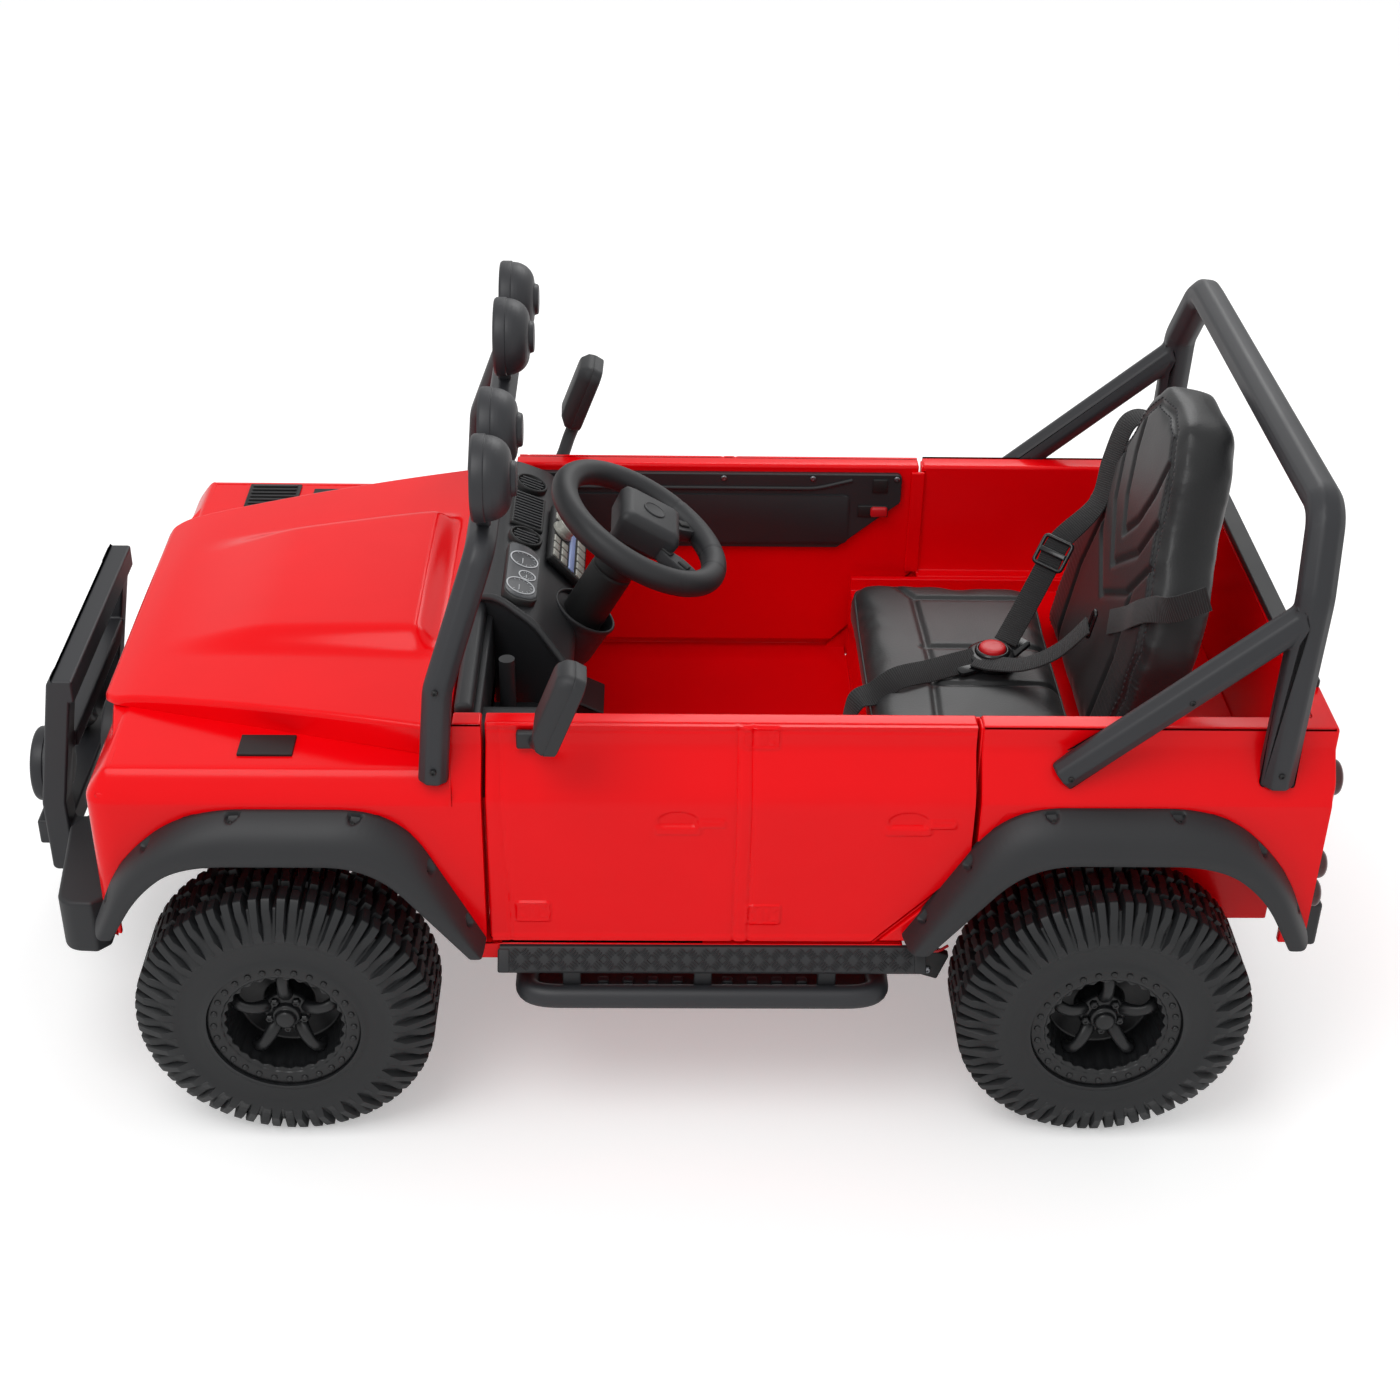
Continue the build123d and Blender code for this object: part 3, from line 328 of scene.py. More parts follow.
# Grained black polypropylene: spark-eroded texture, drawn at 1.6 mm so that it shows
TRIM = grain(new_finish("black_grained_polypropylene", "trim_black", "#212224", 0.55),
             1.6, 0.05, ("#1E1F21", "#26272A"), (0.46, 0.6))
# Bars are the same plastic, blow-moulded and a little smoother
BARS = grain(new_finish("black_moulded_bars", "steel_black", "#26272A", 0.46),
             2.2, 0.035, ("#242528", "#2B2C30"), (0.4, 0.52))
# Blow-moulded tyre plastic: satin black, fine matt speckle
TYRE = grain(new_finish("black_tyre_plastic", "tyre_rubber", "#17181A", 0.5),
             1.8, 0.05, ("#141517", "#1C1E20"), (0.42, 0.58))
RIM = grain(new_finish("black_rim_plastic", "rim_black", "#141516", 0.36),
            2.0, 0.03, ("#111213", "#191A1C"), (0.3, 0.44))
# Leatherette: pebble grain of about 2.2 mm with a soft sheen
VINYL = grain(new_finish("black_leatherette", "seat_vinyl", "#141517", 0.42, Sheen_Weight=0.06),
              2.2, 0.10, ("#121314", "#191A1C"), (0.36, 0.5), kind="ShaderNodeTexVoronoi")
THREAD = grain(new_finish("black_polyester_thread", "seat_vinyl", "#2A2B2E", 0.7),
               0.8, 0.05, ("#26272A", "#333438"), (0.6, 0.8))
BUCKLE = grain(new_finish("black_acetal", "buckle_black", "#131416", 0.24), 3.0, 0.01, None, (0.2, 0.3))
SILVER = grain(new_finish("silver_painted_abs", "panel_grey", "#9A9A92", 0.4, Metallic=0.35),
               1.2, 0.01, ("#92928A", "#A6A69E"), (0.34, 0.46))
CHROME = grain(new_finish("vacuum_chrome", "lens_clear", "#D8DADC", 0.12, Metallic=1.0),
               6.0, 0.01, None, (0.08, 0.18))
CLEAR = new_finish("clear_polycarbonate", "lens_clear", "#F4F6F8", 0.06, Transmission_Weight=0.92, IOR=1.58)
GLASS = grain(CLEAR, 7.0, 0.12, None, (0.04, 0.09), detail=0.0)
TINTED = new_finish("red_polycarbonate", "lens_red", "#4A0508", 0.12, Transmission_Weight=0.3, IOR=1.58)
RED_LENS = grain(TINTED, 5.0, 0.08, None, (0.08, 0.16), detail=0.0)
RED_BUTTON = grain(new_finish("red_button_abs", "body_red", "#C4121C", 0.34),
                   2.0, 0.01, ("#BC1018", "#CC1620"), (0.3, 0.4))
STEEL = grain(new_finish("zinc_plated_steel", "steel_black", "#8F9196", 0.35, Metallic=1.0),
              2.5, 0.02, ("#85878C", "#9A9CA1"), (0.28, 0.45))
# A deeper black than the trim: the own colour of screws, buttons, bezels, brackets and the shroud, and
# painted shade on the plates behind the vent, grille and louvre slats and in the latch slot
DARK = grain(new_finish("black_abs_and_painted_shade", "trim_black", "#0E0F10", 0.6),
             2.0, 0.03, ("#0C0D0E", "#121314"), (0.5, 0.65))
# Pale grey: the dials' screen print, and painted light in the step slots, standing for the bright floor seen
# through them
PALE = grain(new_finish("pale_print_and_painted_light", "panel_grey", "#C9CCCF", 0.5),
              2.0, 0.005, ("#C2C5C8", "#D0D3D6"), (0.45, 0.55))
DIAL = grain(new_finish("grey_dial_film", "panel_grey", "#3E4145", 0.35),
             3.0, 0.005, ("#393C40", "#45484C"), (0.3, 0.42))
DISPLAY = grain(new_finish("blue_display_film", "panel_grey", "#8EA2D6", 0.25),
                4.0, 0.004, ("#7F96CE", "#A4B6E4"), (0.2, 0.3))


def woven(finish, pitch_mm):
    """Webbing on its own run UV in mm: ribs across the strap, finer yarns along it, with painted shade
    between them.
    """
    material = finish[0]
    shader = material.node_tree.nodes["Principled BSDF"]
    run = node(material, "ShaderNodeUVMap", uv_map="run").outputs["UV"]
    ribs = {"Vector": run, "Scale": 0.314 / pitch_mm, "Distortion": 0.4, "Detail Scale": 2.0}
    yarn = {"Vector": run, "Scale": 0.314 / YARN_MM, "Distortion": 0.6}
    across = node(material, "ShaderNodeTexWave", ribs, bands_direction="X", wave_profile="SIN").outputs["Fac"]
    yarns = node(material, "ShaderNodeTexWave", yarn, bands_direction="Y", wave_profile="SIN").outputs["Fac"]
    height = node(material, "ShaderNodeMath", {0: across, 1: yarns}, operation="MULTIPLY").outputs[0]
    bump = node(material, "ShaderNodeBump", {"Height": height, "Distance": 0.6 * MM, "Strength": 1.0})
    material.node_tree.links.new(bump.outputs["Normal"], shader.inputs["Normal"])
    # Painted shade: the colour follows the bump height, darker where the weave is low
    mix = node(material, "ShaderNodeMix", {"Factor": height}, data_type="RGBA")
    mix.inputs[6].default_value, mix.inputs[7].default_value = linear("#0B0B0C"), linear("#222326")
    material.node_tree.links.new(mix.outputs[2], shader.inputs["Base Color"])
    return finish


WEBBING = woven(new_finish("black_polyester_webbing", "webbing", "#18191B", 0.75, Sheen_Weight=0.15), 2.4)
print("finishes:", len(bpy.data.materials))

# %% [markdown]
# ## CAD panels with moulded edges
# The shell panels already have the right form, so each gets a merged copy of its own mesh with the sharp
# edges rounded by a Bevel modifier. Real moulded edges are about 1 to 4 mm round, and that thin highlight
# is what tells the eye it is plastic. The loose triangles are merged and flat runs are joined first, so
# that the bevel follows real edges only.

# %% Rounded copies of the panels


def rounded(name, finish, width_mm, angle=28.0, segments=3):
    """A merged copy of a CAD node with rounded edges, standing for it on the same body."""
    mesh = frame["nodes"][name].data.copy()
    mesh.name = name + "_shell"
    bm = bmesh.new()
    bm.from_mesh(mesh)
    bmesh.ops.remove_doubles(bm, verts=bm.verts, dist=4e-6)
    bmesh.ops.dissolve_limit(bm, angle_limit=radians(1.0), verts=bm.verts, edges=bm.edges)
    bm.to_mesh(mesh)
    bm.free()
    mesh.polygons.foreach_set("use_smooth", np.ones(len(mesh.polygons), bool))
    mesh.set_sharp_from_angle(angle=radians(angle + 4))
    obj = bpy.data.objects.new(name + "_shell", mesh)
    scene.collection.objects.link(obj)
    if width_mm:
        bevel = obj.modifiers.new("moulded_edge", "BEVEL")
        bevel.width, bevel.segments = width_mm * MM, segments
        bevel.limit_method, bevel.angle_limit = "ANGLE", radians(angle)
        bevel.use_clamp_overlap = False
        bevel.harden_normals = True
    dress(obj, finish, BODY_OF[name])
    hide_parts(name)
    return obj


SHELL = [
    # node, finish, edge radius in mm
    ("tub", RED, 2.0), ("front_clip", RED, 2.2), ("rear_body", RED, 2.0),
    ("door_left", RED, 2.0), ("door_right", RED, 2.0),
    ("door_card_left", TRIM, 1.2), ("door_card_right", TRIM, 1.2),
    ("front_bumper", TRIM, 4.0), ("rear_bumper", TRIM, 4.0), ("bull_bar", BARS, 3.0), ("grille", TRIM, 1.0),
    ("tailgate_rail", TRIM, 2.0), ("screen_frame", BARS, 3.0), ("roll_bar", BARS, 3.0),
    ("pedal", TRIM, 3.0),
    ("wing_vents", DARK, 0.8),
    ("chassis_frame", BARS, 2.0), ("front_axle", BARS, 1.5), ("gearboxes", TRIM, 3.0),
    ("knuckle_left", BARS, 1.0), ("knuckle_right", BARS, 1.0), ("tie_rod", STEEL, 1.0),
    ("rear_axle", STEEL, 0.8), ("battery", TRIM, 3.0), ("steering_column", STEEL, 0.8),
]
shells = {name: rounded(name, finish, width) for name, finish, width in SHELL}
print("shell panels:", len(shells))

# %% [markdown]
# ## Tyres
# The tyre is one blow-moulded shape: 33 pairs of lugs on each half, the halves set half a pitch apart,
# with a parting ridge round the middle and flat side walls. A tyre could be built lug by lug, but as a
# height over a turned section it is one formula: radius = root + lug * (tip - root), where lug runs
# smoothly from 0 in a gap to 1 on a lug.

# %% Tyre surface
TYRE_R, TREAD_ROOT_R, SIDEWALL_R, RIM_R, TYRE_HALF = 148.0, 137.0, 108.0, 78.0, 55.0
LUGS, LUG_COLUMNS = 33, 22
SHOULDER = 17.0
WHEEL_Y, HUB_Z = 317.0, 148.0


def step_up(x, low, high):
    """0 below low, 1 above high, smooth between."""
    t = np.clip((x - low) / (high - low), 0, 1)
    return t * t * (3 - 2 * t)


def tyre_points(side):
    """Radius = root + lug * (tip - root) over the turned section, for the wheel of one side."""
    edge = TYRE_HALF - SHOULDER
    half = np.concatenate([np.linspace(0, edge, 24), edge + np.linspace(0.06, 1, 13) * SHOULDER])
    slope = np.clip((half - edge) / SHOULDER, 0, 1)
    root = TREAD_ROOT_R + (SIDEWALL_R - TREAD_ROOT_R) * slope**1.15
    tip = TYRE_R + (SIDEWALL_R + 13 - TYRE_R) * slope**1.25
    y = np.concatenate([-half[::-1], half[1:]])
    root, tip = np.concatenate([root[::-1], root[1:]]), np.concatenate([tip[::-1], tip[1:]])
    a = np.linspace(0, 2 * pi, LUGS * LUG_COLUMNS, endpoint=False)[:, None]
    slope = np.clip((np.abs(y) - edge) / SHOULDER, 0, 1)
    turn = a * LUGS / (2 * pi) + np.where(y * side >= 0, 0.0, 0.5)
    at = (turn + 0.5) % 1.0 - 0.5
    long_lug = 1 - step_up(np.abs(at + 0.225), 0.165, 0.205)
    short_lug = (1 - step_up(np.abs(at - 0.225), 0.165, 0.205)) * (1 - 0.85 * step_up(slope, 0.45, 0.6))
    lug = np.maximum(long_lug, short_lug)
    groove = step_up(np.abs(np.abs(y) - 17.0 - 3.0 * np.sign(at) * np.sign(y)), 1.6, 3.2)
    lug = lug * (0.3 + 0.7 * groove)
    ridge = 0.45 * (1 - step_up(np.abs(y), 1.2, 2.4))
    r = root + np.maximum(lug, ridge) * (tip - root)
    wall_r = np.array([RIM_R - 2.0, RIM_R + 1.5, RIM_R + 4.0, 86.0, 98.0, 104.0, SIDEWALL_R - 0.5])
    wall_y = np.array([0.0, -0.6, -3.0, -3.4, -3.4, -2.6, -0.4]) + TYRE_HALF
    ones = np.ones_like(a)
    R = np.hstack([wall_r * ones, r[:, ::-1], wall_r[::-1] * ones])
    Y = np.hstack([wall_y * ones, y[::-1] * ones, -wall_y[::-1] * ones])
    a = a - pi / 2
    return np.stack([R * np.cos(a), side * Y, R * np.sin(a)], -1)


WHEELS = [
    # node end, x of the hub, side, body
    ("front_left", 408.0, 1, "front_left_wheel"), ("front_right", 408.0, -1, "front_right_wheel"),
    ("rear_left", -408.0, 1, "rear_left_wheel"), ("rear_right", -408.0, -1, "rear_right_wheel"),
]
for end, hub_x, side, body in WHEELS:
    P = tyre_points(side) + np.array([hub_x, side * WHEEL_Y, HUB_Z])
    tread = surface(f"tread_{end}", P, TYRE, body, wrap=CLOSED, sharp=50.0)
    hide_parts(f"tyre_{end}")
print("tyre:", P.shape[0] * P.shape[1] * 2, "triangles each")

# %% [markdown]
# ## Wheels
# Each rim is a deep dish with a bolted clamping ring, a scalloped inner edge, five bowed spokes and a
# stepped hub cap with five nuts. The ring and dish are turned profiles; the scallops are a ripple added
# to the radius of two rows, and the spokes are an oval carried along an arc from hub to ring.

# %% Rim surface
RING_BOLTS, SPOKES = 28, 5
HUB_AXIS = (0, 1, 0)
bolt_profile = np.array([(3.4, 0.0), (3.4, 0.8), (2.6, 1.9), (1.2, 2.4), (0.0, 2.5)])
nut_profile = np.array([(4.4, 0.0), (4.4, 4.2), (3.4, 5.4), (1.8, 5.4), (1.6, 4.6), (0.0, 4.6)])


def at_wheel(P, hub_x, side):
    """Set a shape made about the +Y hub axis at one wheel, mirrored on the right."""
    return P * np.array([1, side, 1]) + np.array([hub_x, side * WHEEL_Y, HUB_Z])


def around(profile, radius, height, count, turn=0.0, sides=10):
    """The same small turned shape set on a circle about the hub axis."""
    template = lathe(profile, (0, 0, 0), HUB_AXIS, sides)
    a = np.arange(count) * 2 * pi / count + turn
    places = np.stack([radius * np.cos(a), np.full(count, height), radius * np.sin(a)], 1)
    frames = np.broadcast_to(np.eye(3), (count, 3, 3))
    return repeated(template.reshape(-1, 3), faces_of(template), frames, places)


def rim_points():
    """Turned dish and ring; two rows of the inner edge ripple by 1.6 mm times the cosine of 28 turns."""
    line = eased([
        (RIM_R - 6, -45), (RIM_R - 0.3, -45), (RIM_R - 0.3, 49), (RIM_R - 3, 52), (RIM_R - 16, 52),
        (RIM_R - 17.5, 49.5), (57.5, 49), (57.5, 44), (52, 10), (25, 9), (24, 28), (21.5, 31), (14, 31.5),
        (13.5, 38), (10.5, 39), (10, 44), (6, 46.5), (0.02, 47),
    ], 2.2, 4)
    P = lathe(line, (0, 0, 0), HUB_AXIS, RING_BOLTS * 8)
    a = np.linspace(0, 2 * pi, P.shape[1], endpoint=False)
    near = np.exp(-(((line[:, 0] - 58.5) / 2.2) ** 2)) * (line[:, 1] > 40)
    grow = 1 + (near[:, None] * 1.6 * np.cos(RING_BOLTS * a)) / np.maximum(line[:, :1], 5)
    return P * np.stack([grow, np.ones_like(grow), grow], -1)


def spoke_points(k):
    """An oval of about 13 by 10 mm carried along a bowed line from the hub to the dish wall."""
    line = flowing([(17, 24), (28, 34), (40, 38), (50, 34), (58, 22)], 18)
    wide = np.interp(line[:, 0], [17, 40, 58], [1.25, 0.9, 1.15])
    path = np.column_stack([line, np.zeros(len(line))])
    oval = carried(ring_of(1.0, 16), path, HUB_AXIS) - path[:, None]
    P = path[:, None] + oval * wide[:, None, None] * [5.2, 5.2, 6.6]
    a = 2 * pi * k / SPOKES + pi / 2
    return P @ np.array([[cos(a), 0, sin(a)], [0, 1, 0], [-sin(a), 0, cos(a)]])


def joined(parts):
    """Several (points, faces) shapes as one."""
    points, faces, base = [], [], 0
    for p, f in parts:
        p = np.asarray(p, float).reshape(-1, 3)
        points.append(p)
        faces += [[v + base for v in face] for face in f]
        base += len(p)
    return np.vstack(points), faces


dish = rim_points()
spokes = [spoke_points(k) for k in range(SPOKES)]
back_line = [(RIM_R - 6, -45), (60, -45), (57, -30), (53, 2), (25, 2), (24.5, -46), (7, -46.5), (6.6, -20)]
back = lathe(back_line, (0, 0, 0), HUB_AXIS, 56)
rim_parts = [(dish, faces_of(dish))] + [(P, faces_of(P, caps=True)) for P in spokes]
rim_parts.append(around(bolt_profile, 69.0, 51.8, RING_BOLTS))
rim_parts.append(around(nut_profile, 18.2, 30.4, SPOKES, pi / 2 + pi / SPOKES, 6))
rim_parts.append((back, faces_of(back)))
rim_shape, rim_faces = joined(rim_parts)
for end, hub_x, side, body in WHEELS:
    wheel = piece(f"wheel_{end}", at_wheel(rim_shape, hub_x, side), rim_faces, RIM, body, sharp=35.0)
    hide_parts(f"rim_{end}")
print("wheel:", len(rim_faces), "faces each")

# %% [markdown]
# ## Lamps
# Four spot lamps stand on the screen frame and two smaller ones on the front guard. Each has a
# bowl-shaped shell with a moulding seam, a bright reflector, a fluted lens and a stepped back cap. All
# are turned profiles, and only the sizes differ, so one function makes both kinds.

# %% Lamp shells, reflectors and lenses
AHEAD, ASTERN = np.array([1.0, 0, 0]), np.array([-1.0, 0, 0])
SPOT_Y, GUARD_Y, HEADLAMP_Y = (-217.0, -113.0, 113.0, 217.0), (-70.0, 70.0), (-122.0, 122.0)
# y, z and radius of the tail lamps on one side
TAIL_LAMPS = ((280, 392, 18), (288, 294, 15), (288, 258, 15))


def lamp(name, centre, r, depth, cap):
    """A turned shell from the bezel back to the cap, with a reflector and a fluted lens inside the bezel."""
    bowed = np.linspace(0.1, pi / 2, 9)
    shell = eased([
        (r - 7, -6), (r - 6, -1.2), (r - 2, -0.4), (r, -3.0), (r, -13.0), (r - 1.2, -13.6), (r - 1.2, -14.4),
        *[(cap + 4 + (r - cap - 5.2) * cos(q), -14.4 - (depth - 19.4) * sin(q)) for q in bowed],
        (cap + 2, 4.4 - depth), (cap + 1, 0.8 - depth), (cap - 0.4, -depth), (cap * 0.5, -depth),
        (0.02, -depth),
    ], 0.8, 3)
    made = turned(f"{name}_shell", shell, centre, AHEAD, 72, BARS, sharp=30.0)
    bowl = eased([(r - 7, -5), (r - 13, -13), (8, -17), (5, -14), (0.02, -11)], 3, 4)
    turned(f"{name}_reflector", bowl, centre, AHEAD, 48, CHROME)
    dome = np.array([(r - 6.5, -5.0), (r - 6.5, -3.4), (r - 12, -2.6), (r * 0.5, -2.0), (0.02, -1.8)])
    P = lathe(dome, centre, AHEAD, 96)
    flutes = np.where(np.arange(len(dome)) > 1, 0.25, 0)[:, None]
    P[..., 0] += flutes * np.cos(P[..., 1] * 2 * pi / 7)
    surface(f"{name}_lens", P, GLASS)
    return made


spots = [lamp(f"spot_{i}", (214.0, y, 676.0), 41.0, 42.0, 15.0) for i, y in enumerate(SPOT_Y)]
guards = [lamp(f"guard_lamp_{i}", (704.0, y, 258.0), 40.0, 34.0, 24.0) for i, y in enumerate(GUARD_Y)]
for y in SPOT_Y:
    pillow_box(f"spot_foot_{int(y)}", (204, y, 638), (7, 9, 9), 3.0, BARS)
for y in GUARD_Y:
    pillow_box(f"guard_foot_{int(y)}", (694, y, 219), (6, 9, 6), 2.5, BARS)
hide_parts("spot_lamps")

for i, y in enumerate(HEADLAMP_Y):
    seat = (588, y, 330)
    ring = eased([(35.5, 0), (42, 0), (42, 18), (40.5, 20), (36.5, 20), (35.5, 14)], 1.5, 3, closed=True)
    bezel = turned(f"headlamp_ring_{i}", ring, seat, AHEAD, 72, TRIM, wrap=CLOSED)
    bowl = eased([(36, 12), (30, 5), (8, 3), (0.02, 3)], 3, 4)
    turned(f"headlamp_reflector_{i}", bowl, seat, AHEAD, 56, CHROME)
    dome = [(36, 12.0), (36, 14.5), (30, 16.8), (15, 18.4), (0.02, 19.0)]
    turned(f"headlamp_lens_{i}", dome, seat, AHEAD, 72, GLASS)
    if i == 0:
        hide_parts("headlamps")
for i, (y, z, r) in enumerate((side * y, z, r) for side, _ in SIDES for y, z, r in TAIL_LAMPS):
    dome = eased([(r, 0.2), (r, 8), (r - 2, 11), (r * 0.6, 13.4), (0.02, 14)], 2, 4)
    red_lens = turned(f"tail_lens_{i}", dome, (-610, y, z), ASTERN, 40, RED_LENS)
    if i == 0:
        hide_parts("tail_lamps")
print("lamps:", len(spots), "spots,", len(guards), "guard lamps, 2 headlamps, 6 tail lamps")

# %% [markdown]
# ## Steering wheel
# The grip is a thick ring with four moulding seams; the hub is a deep box pad with a plain raised circle,
# and two slanted spokes with button plates run down to the ring. The ring is a torus whose tube radius
# depends on the angle, and it turns with the steering column.

# %% Steering wheel surface
HUB = np.array([60.0, 0.0, 512.0])
WX, WY, WZ = np.array([0.0, 1, 0]), np.array([-0.8660254, 0, -0.5]), np.array([-0.5, 0, 0.8660254])
GRIP_RING, GRIP_TUBE, GRIP_SEAMS = 90.0, 13.6, (28.0, 152.0, 78.0, 102.0)


def on_wheel(P):
    """From the wheel's own plane (across, towards the driver, up the column) to the toy's frame."""
    P = np.asarray(P, float)
    return HUB + P[..., :1] * WX + P[..., 1:2] * WY + P[..., 2:] * WZ


def grip_points():
    """Torus: ring radius 90, tube radius 13.6, narrowed by up to 0.9 mm at four seams."""
    a = np.linspace(0, 2 * pi, 240, endpoint=False)[:, None]
    b = np.linspace(0, 2 * pi, 28, endpoint=False)[None]
    away = ((a - np.radians(GRIP_SEAMS) + pi) % (2 * pi) - pi) * GRIP_RING
    tube = GRIP_TUBE - 0.9 * np.exp(-((away / 0.9) ** 2)).sum(1, keepdims=True)
    ring = GRIP_RING + tube * np.cos(b)
    return on_wheel(np.stack([ring * np.cos(a), ring * np.sin(a), tube * np.sin(b)], -1))


grip = surface("steering_grip", grip_points(), TRIM, "steering", wrap=CLOSED, sharp=60.0)
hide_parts("steering_wheel")
# height, half width and half length of each ring of the pad
PAD_RINGS = [(-16, 24, 22), (-8, 34, 33), (14, 35, 35), (21, 33, 32), (24, 28, 27), (24.6, 26, 25)]
pad = [placed(rounded_box((a, b), 7.0, 5) + [0, 3.0], h, HUB, (WX, WY, WZ)) for h, a, b in PAD_RINGS]
pad = np.stack(pad)
surface("steering_pad", pad, TRIM, "steering", caps=True, sharp=45.0)
disc = eased([(12.6, 0), (12.6, 1.2), (11.4, 1.8), (10.6, 1.0), (0.02, 0.9)], 0.4, 3)
turned("steering_disc", disc, on_wheel([0, 3, 24.4]), WZ, 40, TRIM, "steering", sharp=30.0)
for side in (-1, 1):
    line = [(side * 26, 18), (side * 40, 26), (side * 56, 50), (side * 44, 68), (side * 30, 48)]
    outline = eased(line, 6.0, 4, closed=True)
    mid = outline.mean(0)
    rows = ((-9.0, 0.9), (-7.5, 1), (4.0, 1), (5.2, 0.93))
    P = np.stack([placed(mid + (outline - mid) * scale, h, HUB, (WX, WY, WZ)) for h, scale in rows])
    surface(f"steering_spoke_{side}", P, TRIM, "steering", caps=True, sharp=45.0)
    lie = (WX * 0.5 * side + WY * 0.87, WX * 0.87 * side - WY * 0.5, WZ)
    for k, (x, y) in enumerate(((side * 34, 30), (side * 45, 50))):
        at = on_wheel([x, y, 5.6])
        pillow_box(f"steering_button_{side}_{k}", at, (6.5, 4.5, 1.8), 1.5, DARK, "steering", lie)
shroud = [
    (8.2, -134), (23.6, -134), (23.6, -60), (22.4, -59), (22.4, -57), (23.6, -56), (23.6, -12), (8.2, -12),
]
shroud = eased(shroud, 1.2, 3, closed=True)
turned("steering_shroud", shroud, HUB, WZ, 48, DARK, "steering", CLOSED)
print("steering wheel: grip, pad, spokes and shroud")

# %% [markdown]
# ## Seat pads
# Both pads are foam under leatherette, with sewn panels, a double row of stitches round the back and
# ribbed bolsters. A pad could be drawn by hand, but cloth under pressure finds the crowned shape by
# itself: the CAD solid is drawn in by a few millimetres, remeshed, blown up, and held to a small
# movement. Seams are pressed in afterwards as grooves along lines in the pad's own plane, depth *
# exp(-(distance / width)^2), since a remesh would erase them.

# %% Swelling and seams
VOXEL, CLOTH_FRAMES, PRESSURE = 5.0, 20, 4.0


def plump(name, draw_in, cap, rounds):
    """The CAD solid with its edges smoothed off, drawn in, and swelled by cloth pressure up to the cap."""
    mesh = frame["nodes"][name].data.copy()
    bm = bmesh.new()
    bm.from_mesh(mesh)
    bmesh.ops.remove_doubles(bm, verts=bm.verts, dist=4e-6)
    bm.to_mesh(mesh)
    bm.free()
    obj = bpy.data.objects.new(name + "_pad", mesh)
    scene.collection.objects.link(obj)
    remesh = obj.modifiers.new("even", "REMESH")
    remesh.mode, remesh.voxel_size = "VOXEL", VOXEL * MM
    soften = obj.modifiers.new("soften", "SMOOTH")
    soften.factor, soften.iterations = 0.5, rounds
    bake(obj)
    start, normals = points_of(obj.data, "co"), points_of(obj.data, "normal")
    start = start - normals * draw_in * MM
    obj.data.vertices.foreach_set("co", start.ravel())
    cloth = obj.modifiers.new("foam", "CLOTH").settings
    cloth.use_pressure, cloth.uniform_pressure_force = True, PRESSURE
    cloth.effector_weights.gravity = 0.0
    for step in range(1, CLOTH_FRAMES + 1):
        scene.frame_set(step)
    bake(obj)
    scene.frame_set(1)
    move = points_of(obj.data, "co") - start
    reach = np.linalg.norm(move, axis=1, keepdims=True)
    held = np.minimum(1, cap * MM / np.maximum(reach, 1e-9))
    obj.data.vertices.foreach_set("co", (start + move * held).ravel())
    soften = obj.modifiers.new("soften", "SMOOTH")
    soften.factor, soften.iterations = 0.5, 5
    smooth = obj.modifiers.new("smooth", "SUBSURF")
    smooth.levels = smooth.render_levels = 1
    bake(obj)
    return obj


def bake(obj):
    """Apply the modifiers of an object to its mesh."""
    bpy.context.view_layer.update()
    done = bpy.data.meshes.new_from_object(obj.evaluated_get(bpy.context.evaluated_depsgraph_get()))
    obj.modifiers.clear()
    obj.data = done


def points_of(mesh, what):
    """A vertex vector of a mesh, such as co or normal, as an array."""
    flat = np.empty(len(mesh.vertices) * 3)
    mesh.vertices.foreach_get(what, flat)
    return flat.reshape(-1, 3)


def from_lines(uv, lines):
    """Distance of each (u, v) point to the nearest of several broken lines."""
    best = np.full(len(uv), 1e9)
    for line in lines:
        a, b = np.asarray(line[:-1], float), np.asarray(line[1:], float)
        run = b - a
        t = np.einsum("nsk,sk->ns", uv[:, None] - a, run) / (run**2).sum(1)
        gap = uv[:, None] - (a + np.clip(t, 0, 1)[..., None] * run)
        best = np.minimum(best, np.linalg.norm(gap, axis=2).min(1))
    return best


def press(obj, to_plane, facing, seams, depth, width, ripple=None):
    """Sink a pad's face along seam lines drawn in its own plane, and add a ripple where one is given."""
    P, N = points_of(obj.data, "co") / MM + ORIGIN, points_of(obj.data, "normal")
    uv = to_plane(P)
    shows = step_up(N @ np.asarray(facing, float), 0.35, 0.75)
    sink = depth * np.exp(-((from_lines(uv, seams) / width) ** 2))
    if ripple is not None:
        sink = sink + ripple(uv)
    P -= N * (sink * shows)[:, None]
    obj.data.vertices.foreach_set("co", ((P - ORIGIN) * MM).ravel())
    obj.data.polygons.foreach_set("use_smooth", np.ones(len(obj.data.polygons), bool))
    obj.data.update()


LEAN = radians(11.5)
BACK_UP, BACK_OUT = np.array([-sin(LEAN), 0, cos(LEAN)]), np.array([cos(LEAN), 0, sin(LEAN)])
BACK_FOOT = np.array([-408.0, 0, 300.3])


def on_back(P):
    """Across the seat back, and up along it from its foot."""
    return np.stack([P[:, 1], (P - BACK_FOOT) @ BACK_UP], 1)


def on_base(P):
    """Across the seat base, and forwards along it."""
    return np.stack([P[:, 1], P[:, 0]], 1)


def bolster_ribs(uv):
    """A wave of 6.5 mm up the outer part of the lower back."""
    across, up = np.abs(uv[:, 0]), uv[:, 1]
    return 0.45 * np.cos(2 * pi * up / 6.5) * step_up(across, 104, 110) * (1 - step_up(up, 130, 150))


